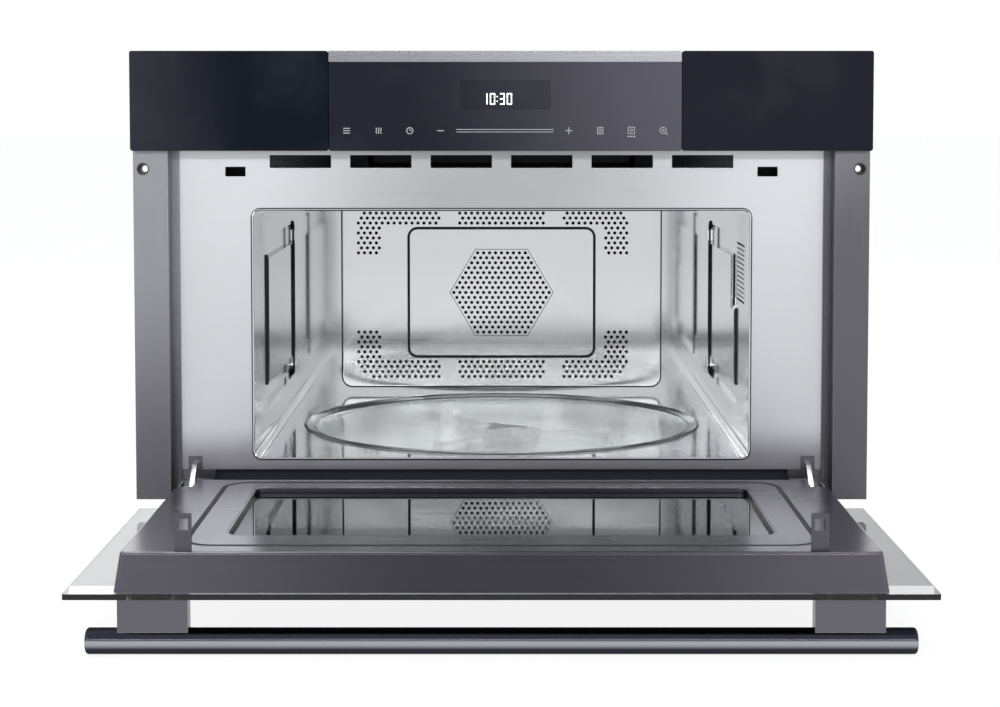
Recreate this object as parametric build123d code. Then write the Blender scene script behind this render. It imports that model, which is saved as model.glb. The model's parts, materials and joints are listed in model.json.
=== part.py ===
from build123d import *

import os
from math import atan2, cos, degrees, radians, sin

# Built-in combination microwave oven for a 38 cm niche, with its drop-down door open at 90 degrees.
# Millimetres. X runs to the right, Y to the back and Z up. The origin is on the flat underside of the
# case, midway between the front plate and the rear panel. The front of the oven faces -Y.

# Case and front, outside sizes
UNIT_WIDTH = 595.0
CASE_SIDE_INSET = 22.5
CASE_HEAD_ROOM = 102.9
CASE_REAR_ROOM = 100.0
SHEET = 0.8
PLATE_THICKNESS = 1.0
PLATE_BOTTOM = 41.3
PLATE_RECESS = 10.0
TRIM_PROUD = 12.0
FACE_PROUD = 22.0
TOE_SETBACK = 12.0
TOE_HINGE_GAP = 12.0
BASE_WALL = 16.0
TOE_END_HEIGHT = 33.0
AIR_SLOT_ROWS = 4
AIR_SLOT_COLUMNS = 5
AIR_SLOT_LENGTH = 20.0
AIR_SLOT_HEIGHT = 3.5
AIR_SLOT_PITCH = 28.0
AIR_SLOT_ROW_PITCH = 9.0
AIR_SLOT_RISE = 23.0

# Cavity, inside sizes
CAVITY_WIDTH = 408.8
CAVITY_HEIGHT = 206.5
CAVITY_DEPTH = 400.0
CAVITY_FLOOR = 49.6
CAVITY_CORNER = 8.0

# Channel pressed into each side wall of the cavity
CHANNEL_DEPTH = 3.5
CHANNEL_WIDTH = 19.5
CHANNEL_FRONT_GAP = 101.5
CHANNEL_REAR_GAP = 55.0
CHANNEL_LOW_GAP = 27.9
CHANNEL_TOP_GAP = 29.6
CHANNEL_CORNER = 9.0
CHANNEL_STEP = 26.0
CHANNEL_STEP_HEIGHT = 46.0

# Lamp window in the right wall
LAMP_SLOT_LENGTH = 54.0
LAMP_SLOT_HEIGHT = 1.8
LAMP_SLOT_PITCH = 4.0
LAMP_SLOTS = 13
LAMP_SLOT_FRONT_GAP = 45.0
LAMP_SLOT_TOP_GAP = 34.0

# Front plate cut-outs
VENT_WIDTH = 50.0
VENT_HEIGHT = 10.4
VENT_PITCH = 65.7
VENT_COUNT = 6
VENT_DROP = 4.0
LATCH_HOLE_WIDTH = 16.4
LATCH_HOLE_HEIGHT = 7.8
LATCH_DROP = 13.5
LATCH_DUCT_GAP = 10.35

# Side trims
TRIM_WIDTH = 28.0
TRIM_INSET = 0.5
TRIM_WALL = 1.2
TRIM_FOOT = 14.0
TRIM_LIP = 6.1
TRIM_LIP_THICKNESS = 1.5
TRIM_GROOVE = 1.6
TRIM_GROOVE_DEPTH = 0.8
TRIM_BOTTOM = 20.5
FIXING_INSET = 8.5
FIXING_DROP = 14.7
FIXING_RADIUS = 2.5
FIXING_HEAD_RADIUS = 4.1

# Control panel
DOOR_GAP = 4.0
FASCIA_HEIGHT = 80.0
FASCIA_GLASS = 4.0
FASCIA_CORNER = 2.0
FASCIA_LEFT_SPLIT = -138.3
FASCIA_RIGHT_SPLIT = 144.3
FASCIA_JOINT = 0.4
STRIP_HEIGHT = 9.0
DISPLAY_WIDTH = 71.6
DISPLAY_HEIGHT = 22.8
DISPLAY_CENTRE_X = 3.2
DISPLAY_RISE = 44.9
CARRIER_INSET = 1.0
CARRIER_WALL = 2.0
CARRIER_BACK_GAP = 1.0
CARRIER_NECK_INSET = 5.0
BOARD_SETBACK = 6.0
TOUCH_STRIP_HEIGHT = 14.0
BOARD_THICKNESS = 1.6
BOARD_MARGIN = 6.0
DISPLAY_MODULE_MARGIN = 4.0

# Door, as it stands closed
DOOR_BOTTOM = 2.0
DOOR_HEAD = 43.9
DOOR_GLASS = 4.0
PAN_SIDE_INSET = 33.8
PAN_TOP_INSET = 3.4
PAN_BOTTOM_INSET = 15.5
PAN_TAPER = 4.0
PAN_WALL = 1.2
PAN_PLATE_GAP = 0.6
PAN_EDGE = 2.4
PAN_CORNER = 5.0
WINDOW_SIDE_GAP = 10.9
WINDOW_TOP_GAP = 18.4
WINDOW_BOTTOM_GAP = 8.4
WINDOW_CORNER = 10.0
WINDOW_RECESS = 3.7
BEZEL_WALL = 2.0
INNER_GLASS = 3.5
GLASS_MARGIN = 5.0
SCREEN_THICKNESS = 0.6
SCREEN_GAP = 1.5
SCREEN_RIM = 1.0
SEAL_MARGIN = 14.0
SEAL_WIDTH = 3.2
SEAL_GROOVE_CLEARANCE = 0.4
SEAL_GROOVE_DEPTH = 0.7
SEAL_THICKNESS = 1.0
SEAL_CORNER = 20.0
HOOK_WIDTH = 12.0
HOOK_THICKNESS = 2.2
HOOK_REACH = 25.0
HOOK_DROP = 1.0
HOOK_FOOT = 14.0
HOOK_WINDOW_WIDTH = 7.2
HOOK_WINDOW_LENGTH = 7.8
HOOK_WINDOW_INSET = 3.7

# Hinges
PIVOT_DEPTH = 11.5
PIVOT_RISE = 15.4
HINGE_INSET = 45.5
ARM_THICKNESS = 4.0
ARM_WIDTH = 9.0
ARM_BOSS_RADIUS = 5.5
ARM_RISE = 24.6
ARM_KNEE_RISE = 12.6
ARM_KNEE_SETBACK = 2.5
ARM_BEND_SETBACK = 5.0
ARM_TAIL = 40.0
PIN_RADIUS = 3.0
PIN_CLEARANCE = 0.05
CHEEK_THICKNESS = 1.5
CHEEK_GAP = 1.5
CHEEK_DEPTH = 15.0
CHEEK_HEIGHT = 63.0
WEB_RISE = 8.6
PIN_PROUD = 0.5
SLOT_CLEARANCE = 0.75
NOTCH_HEIGHT = 11.0
BRACKET_THICKNESS = 2.5
BRACKET_FOOT = 10.0

# Handle
HANDLE_END_INSET = 12.5
HANDLE_RADIUS = 9.15
HANDLE_STANDOFF = 33.0
HANDLE_DROP = 20.0
HANDLE_END_CHAMFER = 1.5
POST_INSET = 59.0
POST_WIDTH = 48.5
POST_THICKNESS = 12.0
POST_SCREW_PITCH = 30.0
POST_SCREW_RADIUS = 2.5
POST_SCREW_DEPTH = 12.0
POST_SCREW_HEAD = 4.5
POST_SCREW_HEAD_HEIGHT = 3.0

# Turntable
PLATTER_SIDE_GAP = 24.4
PLATTER_FRONT_GAP = 21.0
PLATTER_REAR_GAP = 19.0
PLATTER_THICKNESS = 3.6
PLATTER_RIM_WIDTH = 9.0
PLATTER_RIM_HEIGHT = 4.2
PLATTER_PROUD = 2.2
WELL_GAP = 6.0
WELL_DEPTH = 17.6
WELL_DRAFT = 3.0
ROLLER_COUNT = 3
ROLLER_CIRCLE = 95.0
ROLLER_WIDTH = 6.0
ROLLER_PLAY = 0.3
ROLLER_FIRST_ANGLE = -5.0
AXLE_RADIUS = 1.6
AXLE_CLEARANCE = 0.06
AXLE_HEAD_RADIUS = 2.6
AXLE_HEAD_LENGTH = 1.2
AXLE_END_PLAY = 0.3
SUPPORT_RING_INNER = 30.0
SUPPORT_RING_WIDTH = 6.0
SUPPORT_THICKNESS = 3.6
SUPPORT_ARM_WIDTH = 7.0
COUPLER_LOBES = 3
COUPLER_LOBE_RADIUS = 6.0
COUPLER_LOBE_CIRCLE = 17.0
COUPLER_HUB_RADIUS = 11.0
COUPLER_LOBE_HEIGHT = 5.0
COUPLER_SHAFT_RADIUS = 5.0
WELL_HOLE_CLEARANCE = 0.8
TURNTABLE_MOTOR_RADIUS = 26.0
TURNTABLE_MOTOR_HEIGHT = 17.0
MOTOR_SHAFT_CLEARANCE = 0.08
MOTOR_EAR = 8.0
MOTOR_EAR_THICKNESS = 1.5
MOTOR_END_GAP = 1.0
COUPLER_FLOOR_GAP = 1.0
COUPLER_SHAFT_LENGTH = 10.0

# Ceiling grill
GRILL_WIDTH = 330.0
GRILL_POCKET_HEIGHT = 22.0
GRILL_FRONT_GAP = 130.0
GRILL_REAR_GAP = 90.0
GRILL_TUBE_RADIUS = 3.25
GRILL_MARGIN = 20.0
GRILL_BEND_RADIUS = 30.0
GRILL_END_RADIUS = 8.0
GRILL_TERMINAL = 8.0
SHIELD_OVERLAP = 8.0
SHIELD_DROP = 7.6
SHIELD_SLOT_LENGTH = 56.0
SHIELD_SLOT_WIDTH = 5.0
SHIELD_SLOT_COLUMNS = 4
SHIELD_SLOT_ROWS = 6

# Hot-air chamber behind the back wall
BAFFLE_HALF_WIDTH = 161.8
BAFFLE_LOW_GAP = 6.1
BAFFLE_TOP_GAP = 12.0
BAFFLE_PROUD = 2.8
BAFFLE_CORNER = 10.0
PANEL_HALF_WIDTH = 93.1
PANEL_HALF_HEIGHT = 64.3
PANEL_GROOVE = 2.4
PANEL_GROOVE_DEPTH = 2.0
PANEL_CORNER = 8.0
FAN_RISE = 102.3
HOLE_PITCH = 12.1
HOLE_ROW_PITCH = 10.1
HOLE_RADIUS = 4.2
HOLE_ROWS = 9
CHAMBER_HALF_WIDTH = 146.0
CHAMBER_HALF_HEIGHT = 82.0
CHAMBER_DEPTH = 44.0
CHAMBER_FLANGE = 10.0
HEATER_RADIUS = 73.0
HEATER_TUBE_RADIUS = 3.25
HEATER_GAP_ANGLE = 24.0
HEATER_SETBACK = 20.0
FAN_RADIUS = 60.0
FAN_BLADES = 10
FAN_BLADE_DEPTH = 22.0
FAN_BLADE_THICKNESS = 1.2
FAN_HUB_RADIUS = 10.0
FAN_INNER_RADIUS = 30.0
FAN_WALL_GAP = 6.0
FAN_SHAFT_RADIUS = 4.0
SHAFT_CLEARANCE = 0.08
FAN_MOTOR_RADIUS = 34.0
FAN_MOTOR_LENGTH = 32.0

# Cooling blower and its duct
BLOWER_RADIUS = 23.0
BLOWER_LENGTH = 220.0
BLOWER_BLADES = 14
BLOWER_BLADE_WIDTH = 6.0
BLOWER_BLADE_THICKNESS = 0.9
BLOWER_BLADE_TILT = 40.0
BLOWER_DISC = 1.5
BLOWER_GAP = 3.0
BLOWER_WALL = 1.2
BLOWER_SETBACK = 78.0
BLOWER_RISE = 16.0
BLOWER_SHAFT_RADIUS = 3.0
BLOWER_MOTOR_RADIUS = 22.0
BLOWER_MOTOR_LENGTH = 34.0
BLOWER_END_PLAY = 2.0
BLOWER_STUB = 12.0
BLOWER_FOOT = 8.0
DUCT_WALL = 1.0
DUCT_MARGIN = 2.0
DUCT_LENGTH = 42.0

# Microwave source and electronics
MAGNETRON_WIDTH = 80.0
MAGNETRON_HEIGHT = 66.0
MAGNETRON_DEPTH = 92.0
MAGNETRON_FINS = 5
MAGNETRON_FIN_INSET = 8.0
MAGNETRON_PLATE = 1.5
MAGNETRON_CORE_RADIUS = 20.0
ANTENNA_RADIUS = 9.0
ANTENNA_LENGTH = 22.0
ANTENNA_CLEARANCE = 0.5
GUIDE_HEAD = 11.5
MAGNETRON_RISE = 2.0
GUIDE_DEPTH = 38.0
GUIDE_WALL = 1.0
GUIDE_LEFT = 60.0
GUIDE_RIGHT_GAP = 18.0
GUIDE_REAR_GAP = 6.0
GUIDE_PORT_WIDTH = 70.0
PORT_COVER_OVERLAP = 3.5
PORT_COVER_THICKNESS = 0.8
POWER_BOARD_WIDTH = 150.0
POWER_BOARD_DEPTH = 72.0
POWER_BOARD_RISE = 30.0
POWER_BOARD_SIDE_GAP = 18.0
POWER_BOARD_GAP = 9.0
TRANSFORMER_SIZE = 42.0
HEAT_SINK_FINS = 6
HEAT_SINK_BASE = 4.0
HEAT_SINK_HEIGHT = 28.0
LEG_RADIUS = 3.5
LAMP_RADIUS = 11.0
LAMP_LENGTH = 28.0
LAMP_WALL_GAP = 4.0
LAMP_BOX_MARGIN = 0.5
LAMP_HOLDER_RADIUS = 7.0
PAD_THICKNESS = 14.0
GLAND_X = -190.0
GLAND_Z = 320.0
GLAND_RADIUS = 11.0
GLAND_BORE = 4.0
GLAND_LENGTH = 12.0
GLAND_FLANGE = 14.0
GLAND_FLANGE_THICKNESS = 3.0
SWITCH_WIDTH = 10.0
SWITCH_DEPTH = 28.0
SWITCH_HEIGHT = 16.0
LATCH_BOX_CLEARANCE = 5.0
LATCH_BOX_WALL = 1.5
LATCH_BOX_DEPTH = 44.0

FULL_TURN = 360.0

# Planes and levels that the sizes above settle
CASE_WIDTH = UNIT_WIDTH - 2 * CASE_SIDE_INSET
CASE_DEPTH = CAVITY_DEPTH + CASE_REAR_ROOM
FRONT_Y = -CASE_DEPTH / 2
BACK_Y = CASE_DEPTH / 2
PLATE_BACK_Y = FRONT_Y + PLATE_THICKNESS
CABINET_Y = FRONT_Y - PLATE_RECESS
TRIM_Y = CABINET_Y - TRIM_PROUD
FACE_Y = CABINET_Y - FACE_PROUD
TOE_Y = FRONT_Y + TOE_SETBACK
CAVITY_BACK_Y = FRONT_Y + CAVITY_DEPTH
CAVITY_CEILING = CAVITY_FLOOR + CAVITY_HEIGHT
CASE_HEIGHT = CAVITY_CEILING + CASE_HEAD_ROOM
CAVITY_HALF = CAVITY_WIDTH / 2
DOOR_TOP = CAVITY_CEILING + DOOR_HEAD
FASCIA_BOTTOM = DOOR_TOP + DOOR_GAP
FASCIA_TOP = FASCIA_BOTTOM + FASCIA_HEIGHT
VENT_TOP = FASCIA_BOTTOM - VENT_DROP
VENT_BOTTOM = VENT_TOP - VENT_HEIGHT
LATCH_Z = DOOR_TOP - LATCH_DROP
LATCH_BOX_HALF = LATCH_HOLE_WIDTH / 2 + LATCH_BOX_CLEARANCE + LATCH_BOX_WALL
DUCT_HALF = (VENT_COUNT - 1) / 2 * VENT_PITCH + VENT_WIDTH / 2 + DUCT_MARGIN
LATCH_X = DUCT_HALF + DUCT_WALL + LATCH_DUCT_GAP + LATCH_BOX_HALF
FIXING_X = UNIT_WIDTH / 2 - FIXING_INSET
HINGE_X = UNIT_WIDTH / 2 - HINGE_INSET
TOE_HALF_WIDTH = HINGE_X - TOE_HINGE_GAP
HANDLE_LENGTH = UNIT_WIDTH - 2 * HANDLE_END_INSET
POST_X = UNIT_WIDTH / 2 - POST_INSET
GRILL_DEPTH = CAVITY_DEPTH - GRILL_FRONT_GAP - GRILL_REAR_GAP
PIVOT_Y = FACE_Y + PIVOT_DEPTH
PIVOT_Z = DOOR_BOTTOM + PIVOT_RISE
GLASS_BACK_Y = FACE_Y + DOOR_GLASS
PAN_FACE_Y = FRONT_Y - PAN_PLATE_GAP
PAN_HALF = UNIT_WIDTH / 2 - PAN_SIDE_INSET
PAN_LOW = DOOR_BOTTOM + PAN_BOTTOM_INSET
PAN_HIGH = DOOR_TOP - PAN_TOP_INSET
WINDOW_HALF = CAVITY_HALF - WINDOW_SIDE_GAP
WINDOW_LOW = CAVITY_FLOOR + WINDOW_BOTTOM_GAP
WINDOW_HIGH = CAVITY_CEILING - WINDOW_TOP_GAP
WINDOW_GLASS_Y = PAN_FACE_Y - WINDOW_RECESS
CHEEK_INNER = ARM_THICKNESS / 2 + CHEEK_GAP
CHEEK_OUTER = CHEEK_INNER + CHEEK_THICKNESS
PLATTER_RADIUS = min(CAVITY_HALF - PLATTER_SIDE_GAP,
                     (CAVITY_DEPTH - PLATTER_FRONT_GAP - PLATTER_REAR_GAP) / 2)
TURNTABLE_Y = (FRONT_Y + PLATTER_FRONT_GAP + CAVITY_BACK_Y - PLATTER_REAR_GAP) / 2
PLATTER_TOP = CAVITY_FLOOR + PLATTER_PROUD
PLATTER_LOW = PLATTER_TOP - PLATTER_RIM_HEIGHT - PLATTER_THICKNESS
WELL_FLOOR = CAVITY_FLOOR - WELL_DEPTH
ROLLER_RADIUS = (PLATTER_LOW - WELL_FLOOR) / 2 - ROLLER_PLAY
ROLLER_Z = (PLATTER_LOW + WELL_FLOOR) / 2
FAN_Z = CAVITY_FLOOR + FAN_RISE
CHAMBER_BACK_Y = CAVITY_BACK_Y + SHEET + CHAMBER_DEPTH
BLOWER_Y = FRONT_Y + BLOWER_SETBACK
BLOWER_Z = (VENT_BOTTOM + VENT_TOP) / 2 + BLOWER_RISE
BLOWER_SHELL = BLOWER_RADIUS + BLOWER_GAP
DUCT_LOW = VENT_BOTTOM - DUCT_MARGIN
DUCT_HIGH = VENT_TOP + DUCT_MARGIN
DUCT_BACK_Y = PLATE_BACK_Y + DUCT_LENGTH
GUIDE_BACK_Y = CAVITY_BACK_Y - GUIDE_REAR_GAP
GUIDE_FRONT_Y = GUIDE_BACK_Y - GUIDE_DEPTH
GUIDE_LOW = CAVITY_CEILING + SHEET
ANTENNA_Z = GUIDE_LOW + GRILL_POCKET_HEIGHT + MAGNETRON_RISE + MAGNETRON_HEIGHT / 2
GUIDE_TOP = ANTENNA_Z + ANTENNA_RADIUS + GUIDE_HEAD
BOARD_Y = FACE_Y + FASCIA_GLASS + BOARD_SETBACK

LOW = (Align.MIN, Align.MIN, Align.MIN)
ROUND_LOW = (Align.CENTER, Align.CENTER, Align.MIN)


def block(x, y, z):
    """A box given as three spans, each from low to high."""
    return Pos(x[0], y[0], z[0]) * Box(x[1] - x[0], y[1] - y[0], z[1] - z[0], align=LOW)


def rod(radius, start, end):
    """A round bar from one point to another."""
    run = Vector(*end) - Vector(*start)
    return Plane(origin=start, z_dir=run) * Cylinder(radius, run.length, align=ROUND_LOW)


def window(across, up, corner=0.0):
    """A rectangle in a drawing plane given as two spans, with rounded corners if asked."""
    width = across[1] - across[0]
    height = up[1] - up[0]
    shape = RectangleRounded(width, height, corner) if corner else Rectangle(width, height)
    return Pos((across[0] + across[1]) / 2, (up[0] + up[1]) / 2) * shape


def front_sheet(outline, front, thickness):
    """A sheet whose outline is drawn as seen from the front, X across and Z up."""
    return Pos(0, front + thickness, 0) * extrude(Plane.XZ * outline, thickness)


def side_sheet(outline, low, thickness):
    """A sheet whose outline is drawn as seen from the right, Y across and Z up."""
    return Pos(low, 0, 0) * extrude(Plane.YZ * outline, thickness)


def link(start, end, width):
    """A bar outline with round ends between two points of a drawing plane."""
    run = Vector(*end) - Vector(*start)
    middle = (Vector(*start) + Vector(*end)) / 2
    turn = degrees(atan2(run.Y, run.X))
    return Pos(middle.X, middle.Y) * Rot(0, 0, turn) * SlotCenterToCenter(run.length, width)


def group(*solids):
    """Several separate solids that share one node."""
    return Compound([solid for shape in solids for solid in shape.solids()])


def pair(shape):
    """A piece on the right and its mirror image on the left."""
    return group(shape, mirror(shape, Plane.YZ))


def opened(shape):
    """Turn a piece of the door from its closed place to the open one."""
    return Pos(0, PIVOT_Y, PIVOT_Z) * Rot(90, 0, 0) * Pos(0, -PIVOT_Y, -PIVOT_Z) * shape


# Case


def front_plate():
    """Stainless front frame with the cavity's mouth, vents, latch holes and hinge notches."""
    half = CASE_WIDTH / 2
    outline = window((-half, half), (PLATE_BOTTOM, CASE_HEIGHT))
    outline -= window((-CAVITY_HALF, CAVITY_HALF), (CAVITY_FLOOR, CAVITY_CEILING), CAVITY_CORNER)
    for index in range(VENT_COUNT):
        x = (index - (VENT_COUNT - 1) / 2) * VENT_PITCH
        outline -= window((x - VENT_WIDTH / 2, x + VENT_WIDTH / 2), (VENT_BOTTOM, VENT_TOP))
    notch = CHEEK_OUTER + SLOT_CLEARANCE
    for side in (-1, 1):
        outline -= Pos(side * LATCH_X, LATCH_Z) * Rectangle(LATCH_HOLE_WIDTH, LATCH_HOLE_HEIGHT)
        x = side * HINGE_X
        outline -= window((x - notch, x + notch), (PLATE_BOTTOM, PLATE_BOTTOM + NOTCH_HEIGHT))
    plate = front_sheet(outline, FRONT_Y, PLATE_THICKNESS)
    lip = block((-TOE_HALF_WIDTH, TOE_HALF_WIDTH), (FRONT_Y, TOE_Y + SHEET),
                (PLATE_BOTTOM, PLATE_BOTTOM + PLATE_THICKNESS))
    return plate + lip


def side_trim():
    """Right trim: a folded profile with a face, a foot on the cabinet and a lip on the plate."""
    outer = UNIT_WIDTH / 2 - TRIM_INSET
    inner = outer - TRIM_WIDTH
    face = window((inner, outer), (TRIM_Y, TRIM_Y + TRIM_WALL))
    outer_wall = window((outer - TRIM_WALL, outer), (TRIM_Y, CABINET_Y))
    foot = window((outer - TRIM_FOOT, outer), (CABINET_Y - TRIM_WALL, CABINET_Y))
    inner_wall = window((inner, inner + TRIM_WALL), (TRIM_Y, FRONT_Y))
    lip = window((inner - TRIM_LIP, inner + TRIM_WALL), (FRONT_Y - TRIM_LIP_THICKNESS, FRONT_Y))
    groove_x = inner - TRIM_LIP / 2
    lip_front = FRONT_Y - TRIM_LIP_THICKNESS
    groove = window((groove_x - TRIM_GROOVE / 2, groove_x + TRIM_GROOVE / 2),
                    (lip_front, lip_front + TRIM_GROOVE_DEPTH))
    profile = face + outer_wall + foot + inner_wall + lip - groove
    height = FASCIA_BOTTOM + CARRIER_INSET - TRIM_BOTTOM
    trim = Pos(0, 0, TRIM_BOTTOM) * extrude(profile, height)
    hole_z = FASCIA_BOTTOM - FIXING_DROP
    trim -= rod(FIXING_RADIUS, (FIXING_X, TRIM_Y, hole_z), (FIXING_X, CABINET_Y, hole_z))
    trim -= rod(FIXING_HEAD_RADIUS, (FIXING_X, TRIM_Y, hole_z),
                (FIXING_X, TRIM_Y + TRIM_WALL, hole_z))
    return trim


def base_pan():
    """Bottom tray of the case with a closed toe and low walls."""
    half = CASE_WIDTH / 2
    floor = block((-half, half), (TOE_Y, BACK_Y), (0, SHEET))
    toe = block((-TOE_HALF_WIDTH, TOE_HALF_WIDTH), (TOE_Y, TOE_Y + SHEET), (0, PLATE_BOTTOM))
    inner = half - SHEET
    toe += block((-inner, inner), (TOE_Y, TOE_Y + SHEET), (0, TOE_END_HEIGHT))
    walls = [block((side - SHEET, side), (TOE_Y + SHEET, BACK_Y - SHEET), (0, BASE_WALL))
             for side in (-inner + SHEET, inner)]
    rear = block((-inner, inner), (BACK_Y - 2 * SHEET, BACK_Y - SHEET), (0, BASE_WALL))
    return floor + toe + walls[0] + walls[1] + rear


def side_panel():
    """Right side of the case, from the front plate to the rear panel."""
    half = CASE_WIDTH / 2
    return block((half - SHEET, half), (PLATE_BACK_Y, BACK_Y), (SHEET, CASE_HEIGHT - SHEET))


def top_cover():
    """Top of the case."""
    half = CASE_WIDTH / 2
    return block((-half, half), (PLATE_BACK_Y, BACK_Y), (CASE_HEIGHT - SHEET, CASE_HEIGHT))


def rear_panel():
    """Back of the case, with the hole for the mains gland and rows of air slots."""
    half = CASE_WIDTH / 2 - SHEET
    outline = window((-half, half), (SHEET, CASE_HEIGHT - SHEET))
    for row in range(AIR_SLOT_ROWS):
        for column in range(AIR_SLOT_COLUMNS):
            x = (column - (AIR_SLOT_COLUMNS - 1) / 2) * AIR_SLOT_PITCH
            z = CAVITY_CEILING + AIR_SLOT_RISE + row * AIR_SLOT_ROW_PITCH
            outline -= Pos(x, z) * Rectangle(AIR_SLOT_LENGTH, AIR_SLOT_HEIGHT)
    outline -= Pos(GLAND_X, GLAND_Z) * Circle(GLAND_RADIUS)
    return front_sheet(outline, BACK_Y - SHEET, SHEET)


# Cavity


def wall_outline(grow, step):
    """Inner outline of the channel in a side wall, cut back at its upper front corner if asked."""
    front = FRONT_Y + CHANNEL_FRONT_GAP + CHANNEL_WIDTH - grow
    rear = CAVITY_BACK_Y - CHANNEL_REAR_GAP - CHANNEL_WIDTH + grow
    low = CAVITY_FLOOR + CHANNEL_LOW_GAP + CHANNEL_WIDTH - grow
    top = CAVITY_CEILING - CHANNEL_TOP_GAP - CHANNEL_WIDTH + grow
    outline = window((front, rear), (low, top))
    if step:
        outline -= window((front, front + CHANNEL_STEP), (top - CHANNEL_STEP_HEIGHT, top))
    return outline


def cavity_wall(step):
    """Right wall of the cavity with its rounded edges and the channel pressed outwards."""
    inside = window((-CAVITY_HALF, CAVITY_HALF), (CAVITY_FLOOR, CAVITY_CEILING), CAVITY_CORNER)
    outside = window((-CAVITY_HALF - SHEET, CAVITY_HALF + SHEET),
                     (CAVITY_FLOOR - SHEET, CAVITY_CEILING + SHEET), CAVITY_CORNER + SHEET)
    flat = CAVITY_HALF - CAVITY_CORNER
    side = window((flat, CAVITY_WIDTH), (0, CASE_HEIGHT))
    length = CAVITY_BACK_Y - PLATE_BACK_Y
    wall = front_sheet((outside - inside) & side, PLATE_BACK_Y, length)
    front = FRONT_Y + CHANNEL_FRONT_GAP
    rear = CAVITY_BACK_Y - CHANNEL_REAR_GAP
    low = CAVITY_FLOOR + CHANNEL_LOW_GAP
    top = CAVITY_CEILING - CHANNEL_TOP_GAP
    outer = window((front, rear), (low, top), CHANNEL_CORNER)
    outer_skin = window((front - SHEET, rear + SHEET), (low - SHEET, top + SHEET),
                        CHANNEL_CORNER + SHEET)
    wall += side_sheet(outer_skin - wall_outline(-SHEET, step), CAVITY_HALF, CHANNEL_DEPTH + SHEET)
    wall -= side_sheet(outer - wall_outline(0, step), CAVITY_HALF, CHANNEL_DEPTH)
    return wall


def cavity_wall_right():
    """Right wall, with the slots that let the lamp shine in."""
    slots = Sketch()
    middle = FRONT_Y + LAMP_SLOT_FRONT_GAP + LAMP_SLOT_LENGTH / 2
    for index in range(LAMP_SLOTS):
        z = CAVITY_CEILING - LAMP_SLOT_TOP_GAP - index * LAMP_SLOT_PITCH
        slots += Pos(middle, z) * Rectangle(LAMP_SLOT_LENGTH, LAMP_SLOT_HEIGHT)
    return cavity_wall(True) - side_sheet(slots, CAVITY_HALF, SHEET)


def cavity_wall_left():
    """Left wall, plain."""
    return mirror(cavity_wall(False), Plane.YZ)


def cavity_floor():
    """Floor of the cavity with the shallow round well for the turntable."""
    flat = CAVITY_HALF - CAVITY_CORNER
    floor = block((-flat, flat), (PLATE_BACK_Y, CAVITY_BACK_Y), (CAVITY_FLOOR - SHEET, CAVITY_FLOOR))
    mouth = PLATTER_RADIUS + WELL_GAP
    bottom = mouth - WELL_DRAFT
    centre = Pos(0, TURNTABLE_Y, 0)
    outside = Cone(bottom + SHEET, mouth + SHEET, WELL_DEPTH, align=ROUND_LOW)
    inside = Cone(bottom, mouth, WELL_DEPTH, align=ROUND_LOW)
    floor += centre * Pos(0, 0, WELL_FLOOR - SHEET) * outside
    floor -= centre * Pos(0, 0, WELL_FLOOR) * inside
    hole = COUPLER_SHAFT_RADIUS + WELL_HOLE_CLEARANCE
    return floor - rod(hole, (0, TURNTABLE_Y, WELL_FLOOR - SHEET), (0, TURNTABLE_Y, WELL_FLOOR))


def grill_pocket():
    """Spans in X and Y of the pocket in the ceiling that holds the grill."""
    low = FRONT_Y + GRILL_FRONT_GAP
    return (-GRILL_WIDTH / 2, GRILL_WIDTH / 2), (low, low + GRILL_DEPTH)


def cavity_ceiling():
    """Ceiling of the cavity with the grill pocket, its terminal holes and the microwave port."""
    flat = CAVITY_HALF - CAVITY_CORNER
    low = CAVITY_CEILING
    ceiling = block((-flat, flat), (PLATE_BACK_Y, CAVITY_BACK_Y), (low, low + SHEET))
    across, deep = grill_pocket()
    top = low + GRILL_POCKET_HEIGHT
    ceiling += block((across[0] - SHEET, across[1] + SHEET), (deep[0] - SHEET, deep[1] + SHEET),
                     (low, top + SHEET))
    ceiling -= block(across, deep, (low, top))
    for x, y in grill_ends():
        ceiling -= rod(GRILL_TUBE_RADIUS + SHEET, (x, y, top), (x, y, top + SHEET))
    return ceiling - block(*port_spans(0), (low, low + SHEET))


def port_spans(grow):
    """Spans in X and Y of the port between the waveguide and the cavity."""
    left = GUIDE_LEFT + GUIDE_WALL - grow
    right = GUIDE_LEFT + GUIDE_WALL + GUIDE_PORT_WIDTH + grow
    return (left, right), (GUIDE_FRONT_Y + GUIDE_WALL - grow, GUIDE_BACK_Y - GUIDE_WALL + grow)


def port_cover():
    """Mica sheet under the port."""
    return block(*port_spans(PORT_COVER_OVERLAP),
                 (CAVITY_CEILING - PORT_COVER_THICKNESS, CAVITY_CEILING))


def cavity_back():
    """Back wall of the cavity with the mouth of the hot-air chamber."""
    half = CAVITY_HALF + SHEET
    outline = window((-half, half), (CAVITY_FLOOR - SHEET, CAVITY_CEILING + SHEET),
                     CAVITY_CORNER + SHEET)
    outline -= window((-CHAMBER_HALF_WIDTH, CHAMBER_HALF_WIDTH),
                      (FAN_Z - CHAMBER_HALF_HEIGHT, FAN_Z + CHAMBER_HALF_HEIGHT))
    return front_sheet(outline, CAVITY_BACK_Y, SHEET)


def hexagon_holes():
    """Hexagonal hole field in front of the fan, in rows that grow from five holes to nine and back.

    A sheet with so many fine holes is heavy to work with, so the holes stand at twice their usual
    pitch here and keep the same open share.
    """
    holes = Sketch()
    for row in range(HOLE_ROWS):
        away = abs(row - HOLE_ROWS // 2)
        count = HOLE_ROWS - away
        z = FAN_Z + (row - HOLE_ROWS // 2) * HOLE_ROW_PITCH
        for index in range(count):
            x = (index - (count - 1) / 2) * HOLE_PITCH
            holes += Pos(x, z) * RegularPolygon(HOLE_RADIUS, 4)
    return holes


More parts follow.
